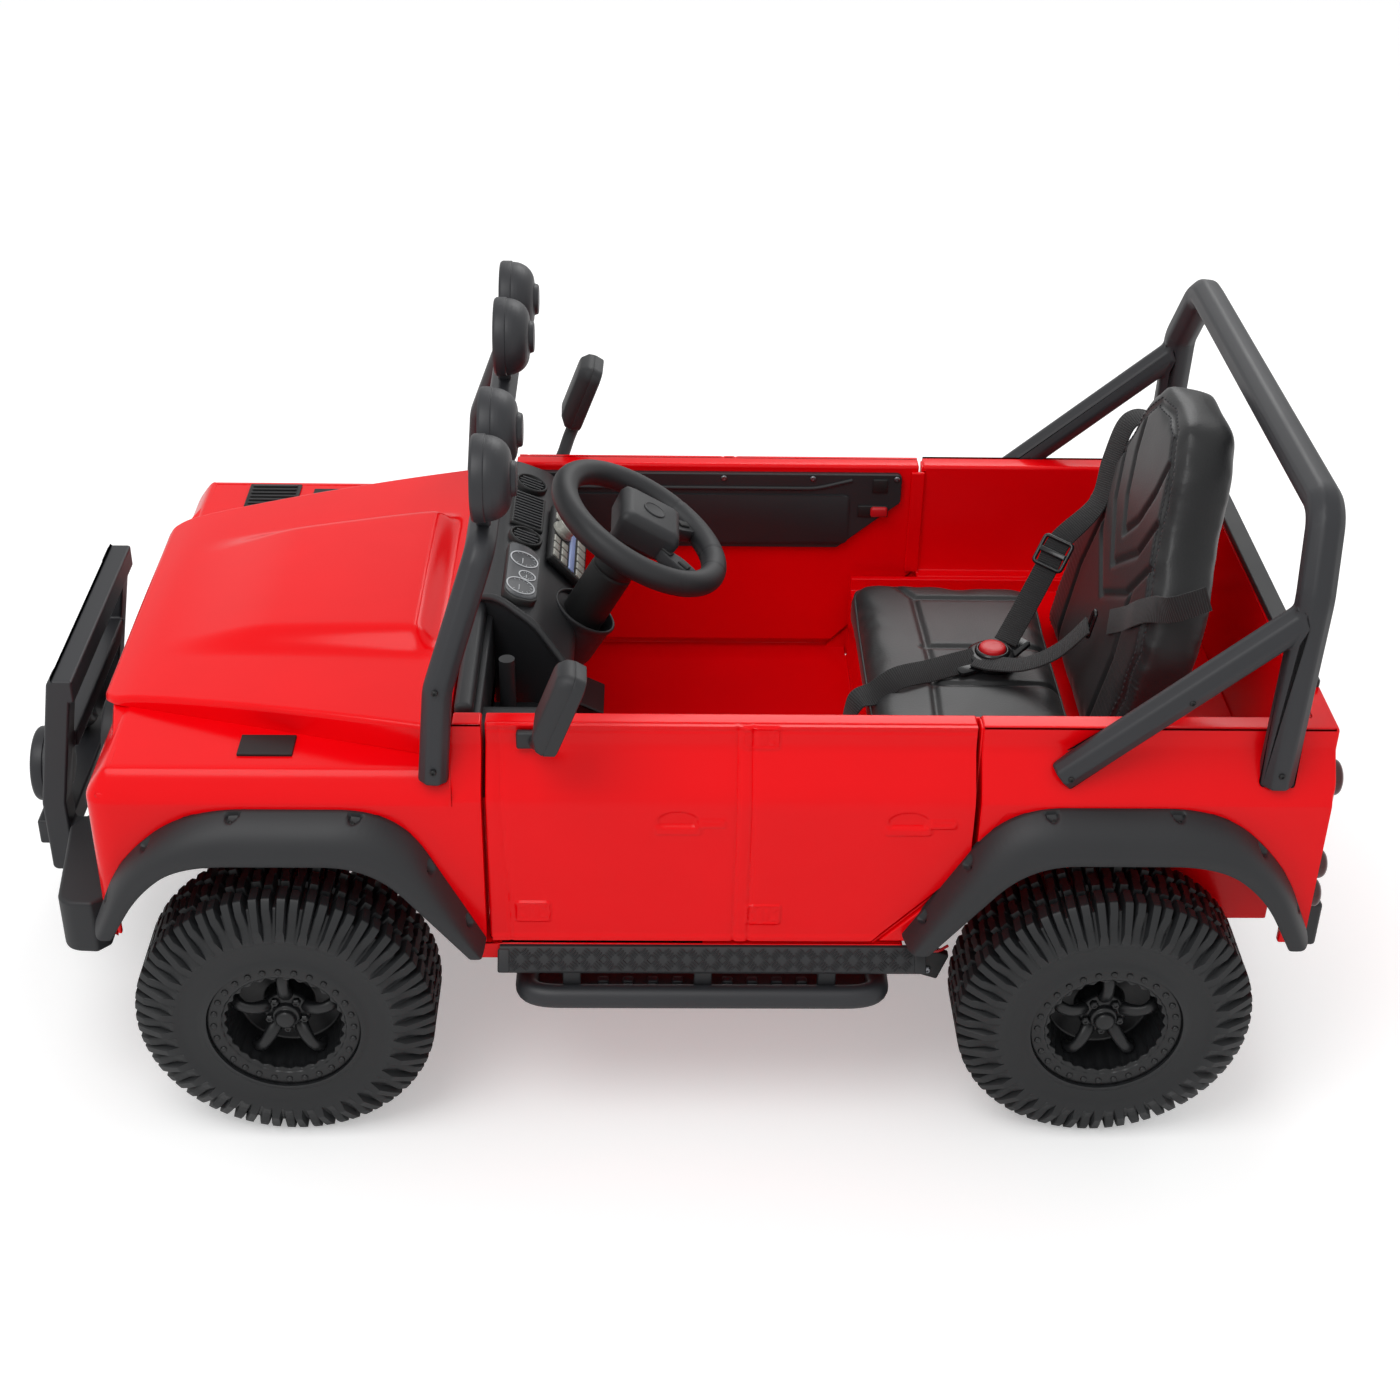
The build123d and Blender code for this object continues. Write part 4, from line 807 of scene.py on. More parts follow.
# %% Seat base and back
seat_base = plump("seat_base", 3.0, 6.0, 10)
base_seams = [[(-175, -193), (-168, -232), (-136, -251), (0, -256), (136, -251), (168, -232), (175, -193)]]
base_seams += [[(y, -252), (y, -398)] for y in (-135, -28, 49, 135)]
press(seat_base, on_base, (0, 0, 1), base_seams, 3.6, 3.4)
seat_back = plump("seat_back", 2.0, 5.0, 46)
EDGE_SEAM = [
    (150, 12), (157, 110), (157, 160), (141, 204), (113, 236), (96, 262), (70, 318), (38, 350), (0, 355),
]
PANEL_SEAMS = [
    EDGE_SEAM, [(58, 322), (50, 286), (30, 244), (0, 214)], [(86, 268), (62, 222), (0, 176)],
    [(112, 232), (70, 178), (0, 138)], [(92, 14), (100, 120), (84, 190)],
]
back_seams = [half for line in PANEL_SEAMS for half in (line, [(-u, v) for u, v in line])]
press(seat_back, on_back, BACK_OUT, back_seams, 4.2, 3.6, bolster_ribs)
for pad, name in ((seat_base, "seat_base"), (seat_back, "seat_back")):
    dress(pad, VINYL)
    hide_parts(name)
print("pads:", len(seat_base.data.polygons), len(seat_back.data.polygons), "faces")

# %% [markdown]
# The piping along the base's top edge and the double stitching on the back are separate threads on the
# real seat, so they are small shapes set on the finished surface: each place is found by looking straight
# at the pad.

# %% Stitches and piping


def looker(obj):
    """A function that finds where lines towards a pad meet it, in mm."""
    faces = [tuple(p.vertices) for p in obj.data.polygons]
    tree = BVHTree.FromPolygons([v.co.copy() for v in obj.data.vertices], faces)

    def meet(points, direction):
        starts = (np.asarray(points, float) - ORIGIN) * MM
        hits = [tree.ray_cast(Vector(p), Vector(direction))[0] for p in starts]
        return np.array([np.array(h) / MM + ORIGIN if h else p / MM + ORIGIN for h, p in zip(hits, starts)])
    return meet


def evenly(line, pitch):
    """Points every pitch mm along a broken line, and the direction of the line there."""
    line = np.asarray(line, float)
    seg = np.linalg.norm(np.diff(line, axis=0), axis=1)
    total = np.concatenate([[0], np.cumsum(seg)])
    s = np.arange(pitch / 2, total[-1], pitch)
    P = np.stack([np.interp(s, total, line[:, k]) for k in range(line.shape[1])], 1)
    ahead = np.stack([np.interp(s + 0.5, total, line[:, k]) for k in range(line.shape[1])], 1) - P
    return P, ahead / np.linalg.norm(ahead, axis=1, keepdims=True)


ACROSS = np.array([0, 1.0, 0])
meet_back, meet_base = looker(seat_back), looker(seat_base)
thread = lathe([(0.02, -2.6), (0.7, -2.0), (0.9, 0), (0.7, 2.0), (0.02, 2.6)], (0, 0, 0), AHEAD, 6)
around_back = [(-u, v) for u, v in EDGE_SEAM] + EDGE_SEAM[::-1]
frames, places = [], []
for offset in (-4.6, 4.6):
    flat, way = evenly(around_back, 7.0)
    flat = flat + np.stack([-way[:, 1], way[:, 0]], 1) * offset
    start = BACK_FOOT + flat[:, :1] * ACROSS + flat[:, 1:] * BACK_UP + BACK_OUT * 80
    along = way[:, :1] * ACROSS + way[:, 1:] * BACK_UP
    out = np.broadcast_to(BACK_OUT, along.shape)
    frames.append(np.stack([along, np.cross(out, along), out], 1))
    places.append(meet_back(start, -BACK_OUT))
scattered("back_stitching", thread, np.vstack(frames), np.vstack(places), THREAD)
rim = eased([(-186, 183), (-186, -183), (-392, -168), (-392, 168)], 34, 9, closed=True)
rim_path, _ = evenly(np.vstack([rim, rim[:1]]), 6.0)
rim_path = meet_base(np.column_stack([rim_path, np.full(len(rim_path), 420.0)]), (0, 0, -1))
hoop("base_piping", rim_path, 1.7, 8, (0, 0, 1), VINYL)
print("stitches:", sum(map(len, places)))

# %% [markdown]
# ## Harness
# Flat webbing is modelled directly: a thin rounded section carried along a line, its flat side kept to
# the pad. The weave needs the length of the strap, so each strap has a UV map that runs in millimetres
# along and across it.

# %% Webbing straps
WEB_SECTION = rounded_box((13.5, 1.1), 1.0, 3)


def webbing(name, points, over, count):
    """A strap along a smooth line through points, its face turned towards the over directions."""
    path = flowing(points, count)
    up = flowing(over, count)
    P = carried(WEB_SECTION, path, up)
    length = np.concatenate([[0], np.cumsum(np.linalg.norm(np.diff(path, axis=0), axis=1))])
    uv = np.stack(np.broadcast_arrays(length[:, None], WEB_SECTION[None, :, 0]), -1).reshape(-1, 2)
    print(name, "is", round(length[-1]), "mm long")
    return surface(name, P, WEBBING, caps=True, uv=uv, sharp=50.0)


def on_pad(meet, points, direction, lift):
    """Points moved along a direction to the pad, then lifted off it."""
    points, direction = np.asarray(points, float), np.asarray(direction, float)
    return meet(points - direction * 120, direction) - direction * lift


DOWN = np.array([0, 0, -1.0])
LIT = np.array([0.42, 0.62, 0.66])
slack = [(-338, -12, 368), (-348, -24, 380), (-364, -42, 402), (-384, -62, 434), (-399, -76, 460)]
high = on_pad(meet_back, [(-440, -92, 496), (-452, -106, 540)], -BACK_OUT, 8.0)
top = [(-462, -116, 577), (-476, -120, 588), (-494, -122, 585), (-508, -123, 570)]
over = [LIT] * 5 + [(0.8, 0.4, 0.45), (0.75, 0.4, 0.5), (0.6, 0.3, 0.7), (0.2, 0.2, 1)]
over += [(-0.5, 0, 1), (-1, 0, 0.3)]
shoulder = webbing("strap_shoulder", np.vstack([slack, high, top]), over, 110)
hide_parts("harness")
wrap_line = [(-418, 62, 440), (-424, 92, 462), (-432, 124, 485), (-442, 150, 505)]
wrap_line = on_pad(meet_back, wrap_line, -BACK_OUT, 2.5)
edge_line = [(-462, 177, 519), (-480, 182, 528), (-496, 181, 534)]
over = [BACK_OUT] * 4 + [(0.5, 1, 0.1), (0.1, 1, 0.1), (0, 1, 0.1)]
webbing("strap_side", np.vstack([wrap_line, edge_line]), over, 80)
link_line = [(-302, 18, 364), (-322, 30, 366), (-352, 40, 372), (-384, 48, 394), (-410, 56, 430)]
webbing("strap_link", link_line, [(0.2, 0, 1)] * 3 + [(0.7, 0, 0.7), (0.9, 0, 0.3)], 60)
lap_near = [(-285, 22, 350), (-250, 38, 350), (-215, 54, 350), (-190, 66, 350)]
lap_near = on_pad(meet_base, lap_near, DOWN, 9.0)
lap_far = [(-172, 74, 348), (-164, 78, 334), (-160, 80, 312), (-158, 81, 296)]
over = [(0.1, 0.55, 0.8)] * 5 + [(0.5, 0.4, 0.7), (0.9, 0.3, 0.2), (1, 0.2, 0), (1, 0, 0)]
webbing("strap_lap", np.vstack([[(-304, 13, 362)], lap_near, lap_far]), over, 90)
print("straps: shoulder, side, link and lap")

# %% [markdown]
# The buckle is a glossy shield-shaped case with a raised collar and a round red push button. Two tongues,
# a slide and a loop carry the straps. The case and tongues are rounded outlines stacked in height.

# %% Buckle and adjusters


def stacked(name, outline, origin, axes, rows, finish, body="body", sharp=40.0):
    """An outline (u, v) stacked in rows (height, scale) over a plane, closed at both ends."""
    mid = np.mean(outline, 0)
    flat = np.asarray(outline, float) - mid
    P = np.stack([placed(mid + flat * scale, h, origin, axes) for h, scale in rows])
    return surface(name, P, finish, body, caps=True, sharp=sharp)


def loop_of(name, centre, axes, half, thick):
    """A wire-like frame: a small ring carried round a rounded rectangle of half sizes (a, b)."""
    return hoop(name, placed(rounded_box(half, 4, 5), 0, centre, axes), thick, 10, axes[2], BUCKLE)


BUCKLE_AT = (-322, 4, 350.5)
shield = [(26, -16), (26, 16), (8, 29), (-14, 29), (-25, 12), (-25, -12), (-14, -29), (8, -29)]
shield = eased(shield, 8, 5, closed=True)
case_rows = [(0, 0.9), (3, 0.98), (9, 1.0), (12, 0.97), (14, 0.9), (15.2, 0.8)]
case = stacked("buckle_case", shield, BUCKLE_AT, UP_AXES, case_rows, BUCKLE)
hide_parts("buckle")
collar = eased([(19.5, 13), (19, 17.5), (17.2, 19.5), (15.4, 19.3), (15, 16)], 0.8, 3)
turned("buckle_collar", collar, BUCKLE_AT, (0, 0, 1), 56, BUCKLE)
button = eased([(14.8, 15), (14.8, 20), (13.6, 22.6), (9, 23.6), (0.02, 24)], 1.4, 4)
turned("buckle_button", button, BUCKLE_AT, (0, 0, 1), 48, RED_BUTTON, sharp=45.0)
TONGUES = (("lap", (-292, 19, 357), (0.9, 0.42, 0)), ("shoulder", (-346, -15, 362), (-0.75, -0.55, 0.35)))
for name, spot, along in TONGUES:
    u = np.array(along) / np.linalg.norm(along)
    v = np.cross((0, 0, 1), u)
    rows = [(-3, 0.9), (-1.5, 1), (2, 1), (3.4, 0.9)]
    stacked(f"buckle_tongue_{name}", rounded_box((15, 16), 4, 4), spot, (u, v, np.cross(u, v)), rows, BUCKLE)
slide_up = np.array([-15, -14, 26]) / 33.1
slide_out = LIT - slide_up * (LIT @ slide_up)
slide_out /= np.linalg.norm(slide_out)
slide_side = np.cross(slide_up, slide_out)
slide_at = np.array([-391.5, -69.0, 447])
loop_of("slide_frame", slide_at + slide_out * 2, (slide_up, slide_side, slide_out), (16, 17), 2.4)
bar_axes = (slide_side, slide_up, slide_out)
pillow_box("slide_bar", slide_at + slide_out * 3.4, (16, 3.2, 1.8), 1.4, BUCKLE, axes=bar_axes)
loop_of("side_loop", (-413, 58, 433), (BACK_UP, ACROSS, BACK_OUT), (15, 5), 2.0)
print("buckle, two tongues, slide and loop")

# %% [markdown]
# ## Hood
# The hood is one thin moulding: gently crowned, with a raised centre panel that has soft sides and fades
# out towards the nose. Blocks and bevels give hard creases, so it is drawn as a height over the plan, z =
# crown(x) + bulge(x, y), and the rim rolls down to the wings over 6 mm.

# %% Hood surface


def hood_points():
    """z = crown(x) - 5 (y / 282)^2 + bulge, less 6 (1 - sqrt(1 - e^2)) at the rolled rim."""
    x = 416 - 176 * np.cos(np.linspace(0, pi, 120))[:, None]
    t = np.sin(np.linspace(-pi / 2, pi / 2, 181))[None]
    corner = 20 - np.sqrt(np.maximum(400 - np.maximum(x - 572, 0) ** 2, 0))
    half = np.interp(x, [240, 592], [282, 187]) - corner
    y = half * t
    line = flowing([(240, 447.5), (330, 444), (430, 437.5), (510, 430), (560, 423.5), (592, 415)], 200)
    crown = np.interp(x, line[:, 0], line[:, 1])
    side = np.interp(x, [262, 530], [142, 108])
    rise = np.interp(x, [262, 300, 545], [19, 20, 13]) * step_up(x, 256, 288) * (1 - step_up(x, 430, 550))
    z = crown - 5 * (y / 282) ** 2 + rise * (1 - step_up(np.abs(y), side - 18, side + 18))
    for edge in (np.abs(y) - half + 6, x - 586 + 0 * y, 244 - x + 0 * y):
        z = z - 6 * (1 - np.sqrt(1 - np.clip(edge / 6, 0, 1) ** 2))
    P = np.stack(np.broadcast_arrays(x, y, z), -1)
    P = np.pad(P, ((1, 1), (1, 1), (0, 0)), "edge")
    P[[0, -1], :, 2] = P[:, [0, -1], 2] = 409.6
    return P


hood = surface("hood_skin", hood_points(), RED, wrap=SHEET, sharp=50.0)
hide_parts("hood")
print("hood:", len(hood.data.polygons), "faces")

# %% [markdown]
# ## Doors
# Each door is moulded to look like two: a pair of grooves down the middle, false hinges with screw heads,
# two recessed pulls, a shoulder crease and a lip along the skirt. All are shallow, so the outer skin is
# the CAD section drawn out by a relief d(x, z) in millimetres, one term per feature.

# %% Door skins


def box_at(x, z, cx, cz, hx, hz, soft=1.2):
    """1 inside a rounded rectangle about (cx, cz), 0 outside, smooth over the soft width."""
    gap = np.hypot(np.maximum(np.abs(x - cx) - hx + 2, 0), np.maximum(np.abs(z - cz) - hz + 2, 0)) - 2
    return 1 - step_up(gap, -soft / 2, soft / 2)


def line_at(v, c, width):
    """1 on the line v = c, falling off over the width."""
    return np.exp(-(((v - c) / width) ** 2))


def door_relief(x, z):
    """Grooves, false hinges, pulls and lips, outwards in mm."""
    d = -1.8 * line_at(x, -35, 1.5) - 1.8 * line_at(x, -50, 1.5) + 0.5 * box_at(x, z, -42.5, 330, 5, 140)
    for cx, cz in ((162, 255), (-64, 252), (-58, 441)):
        d = d + 2.0 * box_at(x, z, cx, cz, 17, 12) - 1.1 * box_at(x, z, cx, cz, 14.5, 9.5)
        d = d + 0.9 * box_at(x, z, cx + 2, cz, 2.2, 9) + 0.9 * box_at(x, z, cx - 4, cz, 1.4, 8)
        for sx, sz in ((-11, -6), (-11, 6), (11, -6), (11, 6)):
            r = np.hypot(x - cx - sx, z - cz - sz)
            d = d + 1.1 * (1 - step_up(r, 1.8, 3.0)) - 0.7 * (1 - step_up(r, 0.4, 1.2))
    for cx, cz in ((10, 360), (-212, 360)):
        pocket = 1 - step_up(np.hypot((x - cx - 11) / 21, (z - cz - 3) / 12), 0.82, 1.0)
        d = d - 2.6 * pocket * step_up(z, cz - 4, cz - 1) + 1.7 * box_at(x, z, cx + 11, cz - 7, 22, 4.5)
        d = d + 1.6 * box_at(x, z, cx - 21, cz + 1, 14, 4.5) - 1.0 * box_at(x, z, cx - 21, cz + 3, 11, 1.2)
    front = np.interp(z, [218, 390, 454], [184, 190, 192])
    d = d - 1.2 * line_at(x, front, 1.3) + 1.0 * (1 - step_up(z, 224, 227))
    return d - 1.2 * line_at(z, 448, 1.4)


def door_points():
    """The door's section carried along x from the cut rear edge to the hinge edge, plus the relief."""
    line = eased([(320, 219), (320, 388), (291, 430), (291, 453.5)], [0, 12, 7, 0], 12)
    length = np.concatenate([[0], np.cumsum(np.linalg.norm(np.diff(line, axis=0), axis=1))])
    s = np.linspace(0, length[-1], 150)
    y, z = np.interp(s, length, line[:, 0])[None], np.interp(s, length, line[:, 1])[None]
    dy, dz = np.gradient(y[0]), np.gradient(z[0])
    n = np.stack([0 * dy, dz, -dy], 1) / np.hypot(dy, dz)[:, None]
    rear = np.where(z < 313, -172 - (z - 218) * 92 / 95, -264.0) + 0.6
    x = rear + np.linspace(0, 1, 230)[:, None] * (202.6 - rear)
    P = np.stack(np.broadcast_arrays(x, y, z), -1) + door_relief(x, z)[..., None] * n
    P = np.pad(P, ((1, 1), (1, 1), (0, 0)), "edge")
    P[[0, -1], :, 1] -= 4.0
    P[:, [0, -1], 1] -= 4.0
    return P


door_skin = door_points()
for side, word in SIDES:
    inner = shells[f"door_{word}"].data
    P = points_of(inner, "co")
    P[:, 1] -= np.where(P[:, 1] * side > 0.285, side * 0.0034, 0)
    inner.vertices.foreach_set("co", P.ravel())
    surface(f"door_skin_{word}", door_skin * np.array([1, side, 1]), RED, f"{word}_door", SHEET, sharp=50.0)
print("door skin:", door_skin.shape[0] * door_skin.shape[1], "points each")

# %% [markdown]
# ## Wings, quarters and flares
# The sides are one thin skin with a soft shoulder, which catches the long highlight. A bevel on the CAD
# panels breaks up at the arch cuts, so each side panel is a section rolled inwards along a plan line, its
# foot following the arch. The flares are drawn from three arch lines (body edge, lip and opening): a
# convex face between them with six dented pockets, a screw in each.

# %% Side skins
ARCH = {
    "front": ([(209, 222), (288, 376), (488, 376), (558, 320), (590, 244)],
              [(212, 222), (306, 346), (500, 346), (549, 306), (580, 244)],
              [(224, 222), (313, 332), (494, 332), (537, 298), (568, 244)]),
    "rear": ([(-203, 228), (-293, 382), (-502, 382), (-572, 316), (-606, 236)],
             [(-213, 228), (-308, 351), (-505, 351), (-560, 308), (-594, 236)],
             [(-227, 228), (-316, 337), (-498, 337), (-548, 298), (-580, 236)]),
}


def side_skin(plan, arch, roll, turn):
    """P = plan + inwards * inset(s), z(s): straight up from the arch line, then over the rolled section."""
    plan, way = evenly(plan, 3.0)
    inward = turn * np.column_stack([way[:, 1], -way[:, 0]])
    line = np.array(sorted(arch))
    low = np.minimum(np.interp(plan[:, 0], line[:, 0], line[:, 1]) - 6, roll[0, 1] - 2)[:, None]
    t = np.linspace(0, 1, 12)[None, :-1]
    z = np.hstack([low + t * (roll[0, 1] - low), np.broadcast_to(roll[:, 1], (len(plan), len(roll)))])
    inset = np.concatenate([np.zeros(11), roll[:, 0]])[None, :, None]
    P = np.dstack([plan[:, None] + inward[:, None] * inset, z])
    P = np.pad(P, ((1, 1), (1, 1), (0, 0)), "edge")
    P[[0, -1], :, 1] -= 3.0
    P[:, 0, 1] -= 3.0
    P[:, -1, 2] -= 2.0
    return P


wing_roll = eased([(0, 374), (0, 384), (18, 408.9), (26, 409.5)], [0, 18, 12, 0], 9)
wall_roll = eased([(0, 378), (0, 388), (29, 430), (29, 454.4)], [0, 16, 8, 0], 9)
wing_plan = eased([(237, 320.7), (587, 320.7), (587, 174)], [0, 26, 0], 12)
skins = {
    "wing": side_skin(wing_plan, ARCH["front"][0], wing_roll, 1),
    "cowl": side_skin([(207.5, 320.6), (240.5, 320.6)], ARCH["front"][0], wall_roll, 1),
    "quarter": side_skin([(-268.5, 320.6), (-606.5, 320.6)], ARCH["rear"][0], wall_roll, -1),
}
top_x, top_y = np.meshgrid(np.linspace(238, 563, 40), np.linspace(150, 297, 20), indexing="ij")
skins["wing_top"] = np.stack([top_x, top_y, 408.9 + 2 * (302 - top_y) / 152], -1)
for side, word in SIDES:
    for name, P in skins.items():
        surface(f"{name}_skin_{word}", P * np.array([1, side, 1]), RED, wrap=SHEET, sharp=50.0)
# The copied clip's front corners are drawn in behind the new nose skin
clip = shells["front_clip"].data
P = points_of(clip, "co") / MM + ORIGIN
corner = ((P[:, 0] > 575) & (np.abs(P[:, 1]) > 290) & (P[:, 2] > 250))[:, None]
P -= corner * np.column_stack([np.full(len(P), 22.0), 16.0 * np.sign(P[:, 1]), np.full(len(P), 3.0)])
clip.vertices.foreach_set("co", ((P - ORIGIN) * MM).ravel())
# Along the door's cut rear corner, across, and square to both
CUT_AXES = ((-92.0, 0, 95), (0, 1, 0), (-95.0, 0, -92))
for side, word in SIDES:
    pillow_box(f"jamb_{word}", (-268.8, side * 279, 379), (1.5, 9, 72), 1.0, RED)
    pillow_box(f"cut_jamb_{word}", (-222, side * 294, 262), (74, 22, 1.2), 0.8, RED, axes=CUT_AXES)
    pillow_box(f"cut_fill_{word}", (-231, side * 281, 253), (82, 9, 13), 1.0, RED, axes=CUT_AXES)
print("side skins:", {name: P.shape[:2] for name, P in skins.items()})

# %% Flares and pocket screws
SCREW_R = 3.6
screw = [(SCREW_R, -1.0), (SCREW_R, 1.2), (2.8, 2.2), (1.6, 2.4), (1.3, 1.2), (0.02, 1.1)]
screw = lathe(screw, (0, 0, 0), (0, 0, 1), 10)
POCKETS = np.array([0.06, 0.2, 0.38, 0.6, 0.78, 0.93])


def screws(name, places, axes, size, finish, body="body"):
    """Dished screw heads at places, along one axis or each along its own."""
    frames = [np.stack(basis(a)) for a in np.broadcast_to(axes, np.shape(places))]
    return scattered(name, screw * size / SCREW_R, frames, places, finish, body, 35.0)


def out_at(xz, y):
    """Points (x, z) of a side view, set at a distance y from the middle."""
    return np.column_stack([xz[:, 0], np.full(len(xz), y), xz[:, 1]])


def flare_points(edge, lip, hole):
    """Rows edge, quadratic curve to lip, hole along the arch; also the pockets' places and normals."""
    E, L, O = (eased(line, [0, r, r, r, 0], 14) for line, r in ((edge, 56), (lip, 52), (hole, 46)))
    walk = np.concatenate([[0], np.cumsum(np.linalg.norm(np.diff(E, axis=0), axis=1))])
    s = np.linspace(0, walk[-1], 300)
    at = np.interp(s, walk, np.arange(len(E)))
    E, L, O = (np.stack([np.interp(at, np.arange(len(A)), A[:, k]) for k in (0, 1)], 1) for A in (E, L, O))
    t = np.linspace(0, 1, 26)[None, :, None]
    a, c, b = (out_at(xz, y)[:, None] for xz, y in ((E, 323.6), (0.66 * E + 0.34 * L, 350.5), (L, 354.6)))
    face = (1 - t) ** 2 * a + 2 * t * (1 - t) * c + t**2 * b
    normal = np.cross(np.gradient(face, axis=0), np.gradient(face, axis=1))
    normal *= np.sign(normal[..., 1:2]) / np.linalg.norm(normal, axis=2, keepdims=True)
    depth = np.cumsum(np.linalg.norm(np.diff(face, axis=1, prepend=face[:, :1]), axis=2), axis=1)
    places = POCKETS * walk[-1]
    q = np.hypot((s[:, None, None] - places) / 7.5, depth[..., None] / 15).min(2)
    face = face - normal * (4.6 * (1 - step_up(q, 0.72, 1.0)) * step_up(depth, 1.2, 2.6))[..., None]
    k = np.searchsorted(s, places)
    turn_in = ((0.15, 355.6), (0.5, 355.9), (0.85, 355.6), (0.97, 354.6), (1, 352.5), (1, 336), (1, 321))
    rows = [out_at(E, 317.5), out_at(E, 321.8), *np.moveaxis(face, 1, 0)]
    rows += [out_at(L + f * (O - L), y) for f, y in turn_in]
    return np.stack(rows, 1), face[k, 5], normal[k, 5]


for end, lines in ARCH.items():
    P, place, axis = flare_points(*lines)
    for side, word in SIDES:
        m = np.array([1, side, 1])
        flare = surface(f"flare_skin_{end}_{word}", P * m, TRIM, caps=True)
        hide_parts(f"flare_{end}_{word}")
        screws(f"flare_screws_{end}_{word}", place * m, axis * m, 2.6, DARK)
print("flares:", P.shape[0] * P.shape[1], "points each,", len(POCKETS), "pockets")

# %% [markdown]
# ## Side steps
# A sloped tread plate runs along the sill, pressed with a chequer of small bars, four to a tile and
# turned the other way in each next tile. Below it hang a bent tube and a slotted board on three brackets.
# The tube is a ring carried along an eased path, and the bars are one lens-shaped template repeated.

# %% Steps
# The plate's slope, from its top edge down and outwards, and the direction off it
slope = np.array([0, 14.5, -19.5]) / np.hypot(14.5, 19.5)
off = np.array([0, 19.5, 14.5]) / np.hypot(14.5, 19.5)
TILES, TILE_ROWS, TILE_BARS = 34, 2, 4
plate_line = eased([(319, 213), (324, 213.5), (338.5, 194), (334, 187.5), (319, 187.5)], [0, 1.5, 2, 2, 0], 4)
plate_ends = (-226, -15, 196)
plate_sections = np.stack([np.column_stack([np.full(len(plate_line), x), plate_line]) for x in plate_ends])
lens = lathe([(0.02, -4.6), (0.75, -3.2), (1.0, 0), (0.75, 3.2), (0.02, 4.6)], (0, 0, 0), AHEAD, 8)
col, row, k = (g.ravel() for g in np.indices((TILES, TILE_ROWS, TILE_BARS)))
turn = np.where((col + row) % 2 == 0, 1, -1) * radians(42)
along = np.cos(turn)[:, None] * AHEAD + np.sin(turn)[:, None] * slope
aside = np.cross(off, along)
tile = np.array([-208, 324.6, 213.0]) + (11.8 * col)[:, None] * AHEAD + slope * (6.6 + 11 * row)[:, None]
frames = np.stack([along, aside, np.broadcast_to(off * 1.5, along.shape)], 1)
bars = repeated(lens.reshape(-1, 3), faces_of(lens), frames, tile + aside * ((k - 1.5) * 2.9)[:, None])
tube_path = eased([(170, 300, 160), (170, 336, 160), (-182, 336, 160), (-182, 300, 160)], 34, 9)
tube = carried(ring_of(12.0, 28), tube_path, (0, 0, 1))
board_line = eased([(176, 298), (176, 334), (-188, 334), (-188, 298)], 20, 5, closed=True)
board_rows = [(0, 0.99), (1, 1), (6, 1), (7, 0.99)]
wire_path = flowing([(-214, 306, 207), (-226, 315, 206), (-240, 316, 203), (-252, 310, 205)], 24)
loom_axes = ((1, 0, 0.35), (0, 1, 0), (-0.35, 0, 1))
for side, word in SIDES:
    m = np.array([1, side, 1])
    tread = surface(f"step_plate_{word}", plate_sections * m, TRIM, caps=True, sharp=30.0)
    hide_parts(f"step_{word}")
    piece(f"step_chequer_{word}", bars[0] * m, bars[1], TRIM, sharp=60.0)
    surface(f"step_tube_{word}", tube * m, BARS, caps=True, sharp=60.0)
    stacked(f"step_board_{word}", board_line * m[:2], (0, 0, 156), UP_AXES, board_rows, TRIM)
    for i, x in enumerate(-6 + 25.0 * (np.arange(9) - 4)):
        pillow_box(f"step_nib_{word}_{i}", (x, side * 317, 164.6), (5.5, 4.2, 2.6), 1.6, BARS)
        # Painted light: each slot is a pale strip in place of an opening, for the bright floor seen through
        # it
        pillow_box(f"step_slot_{word}_{i}", (x, side * 322.4, 163.4), (5.0, 0.8, 0.7), 0.4, PALE)
    for i, x in enumerate((-130, -6, 125)):
        pillow_box(f"step_bracket_{word}_{i}", (x, side * 325, 175), (9, 5, 14.5), 2.0, TRIM)
    cap_axes = (AHEAD, off * m, slope * m)
    for i, x in enumerate((-222, 192)):
        pillow_box(f"step_cap_{word}_{i}", (x, side * 329, 199.6), (6, 5.4, 12), 2.0, TRIM, axes=cap_axes)
    pillow_box(f"loom_bracket_{word}", (-236, side * 309, 184), (13, 5, 16), 2.0, DARK, axes=loom_axes)
    screws(f"loom_screw_{word}", [(-232, side * 314.4, 178.0)], (0, side, 0), 4.0, STEEL)
    bar(f"loom_wire_{word}", wire_path * m, 1.5, 8, (0, 0, 1), RED_BUTTON)
print("steps: plates with", len(tile), "bars each")

# %% [markdown]
# ## Dashboard
# The dash is one dark moulding that ends in a slant before an open cubby with a round bar and a tray. Its
# slopes carry a dial film, a silver audio panel, two round vents and a grille. The body is the CAD
# profile carried across; the fittings are thin plates and rings set on the two slopes, with blank prints.

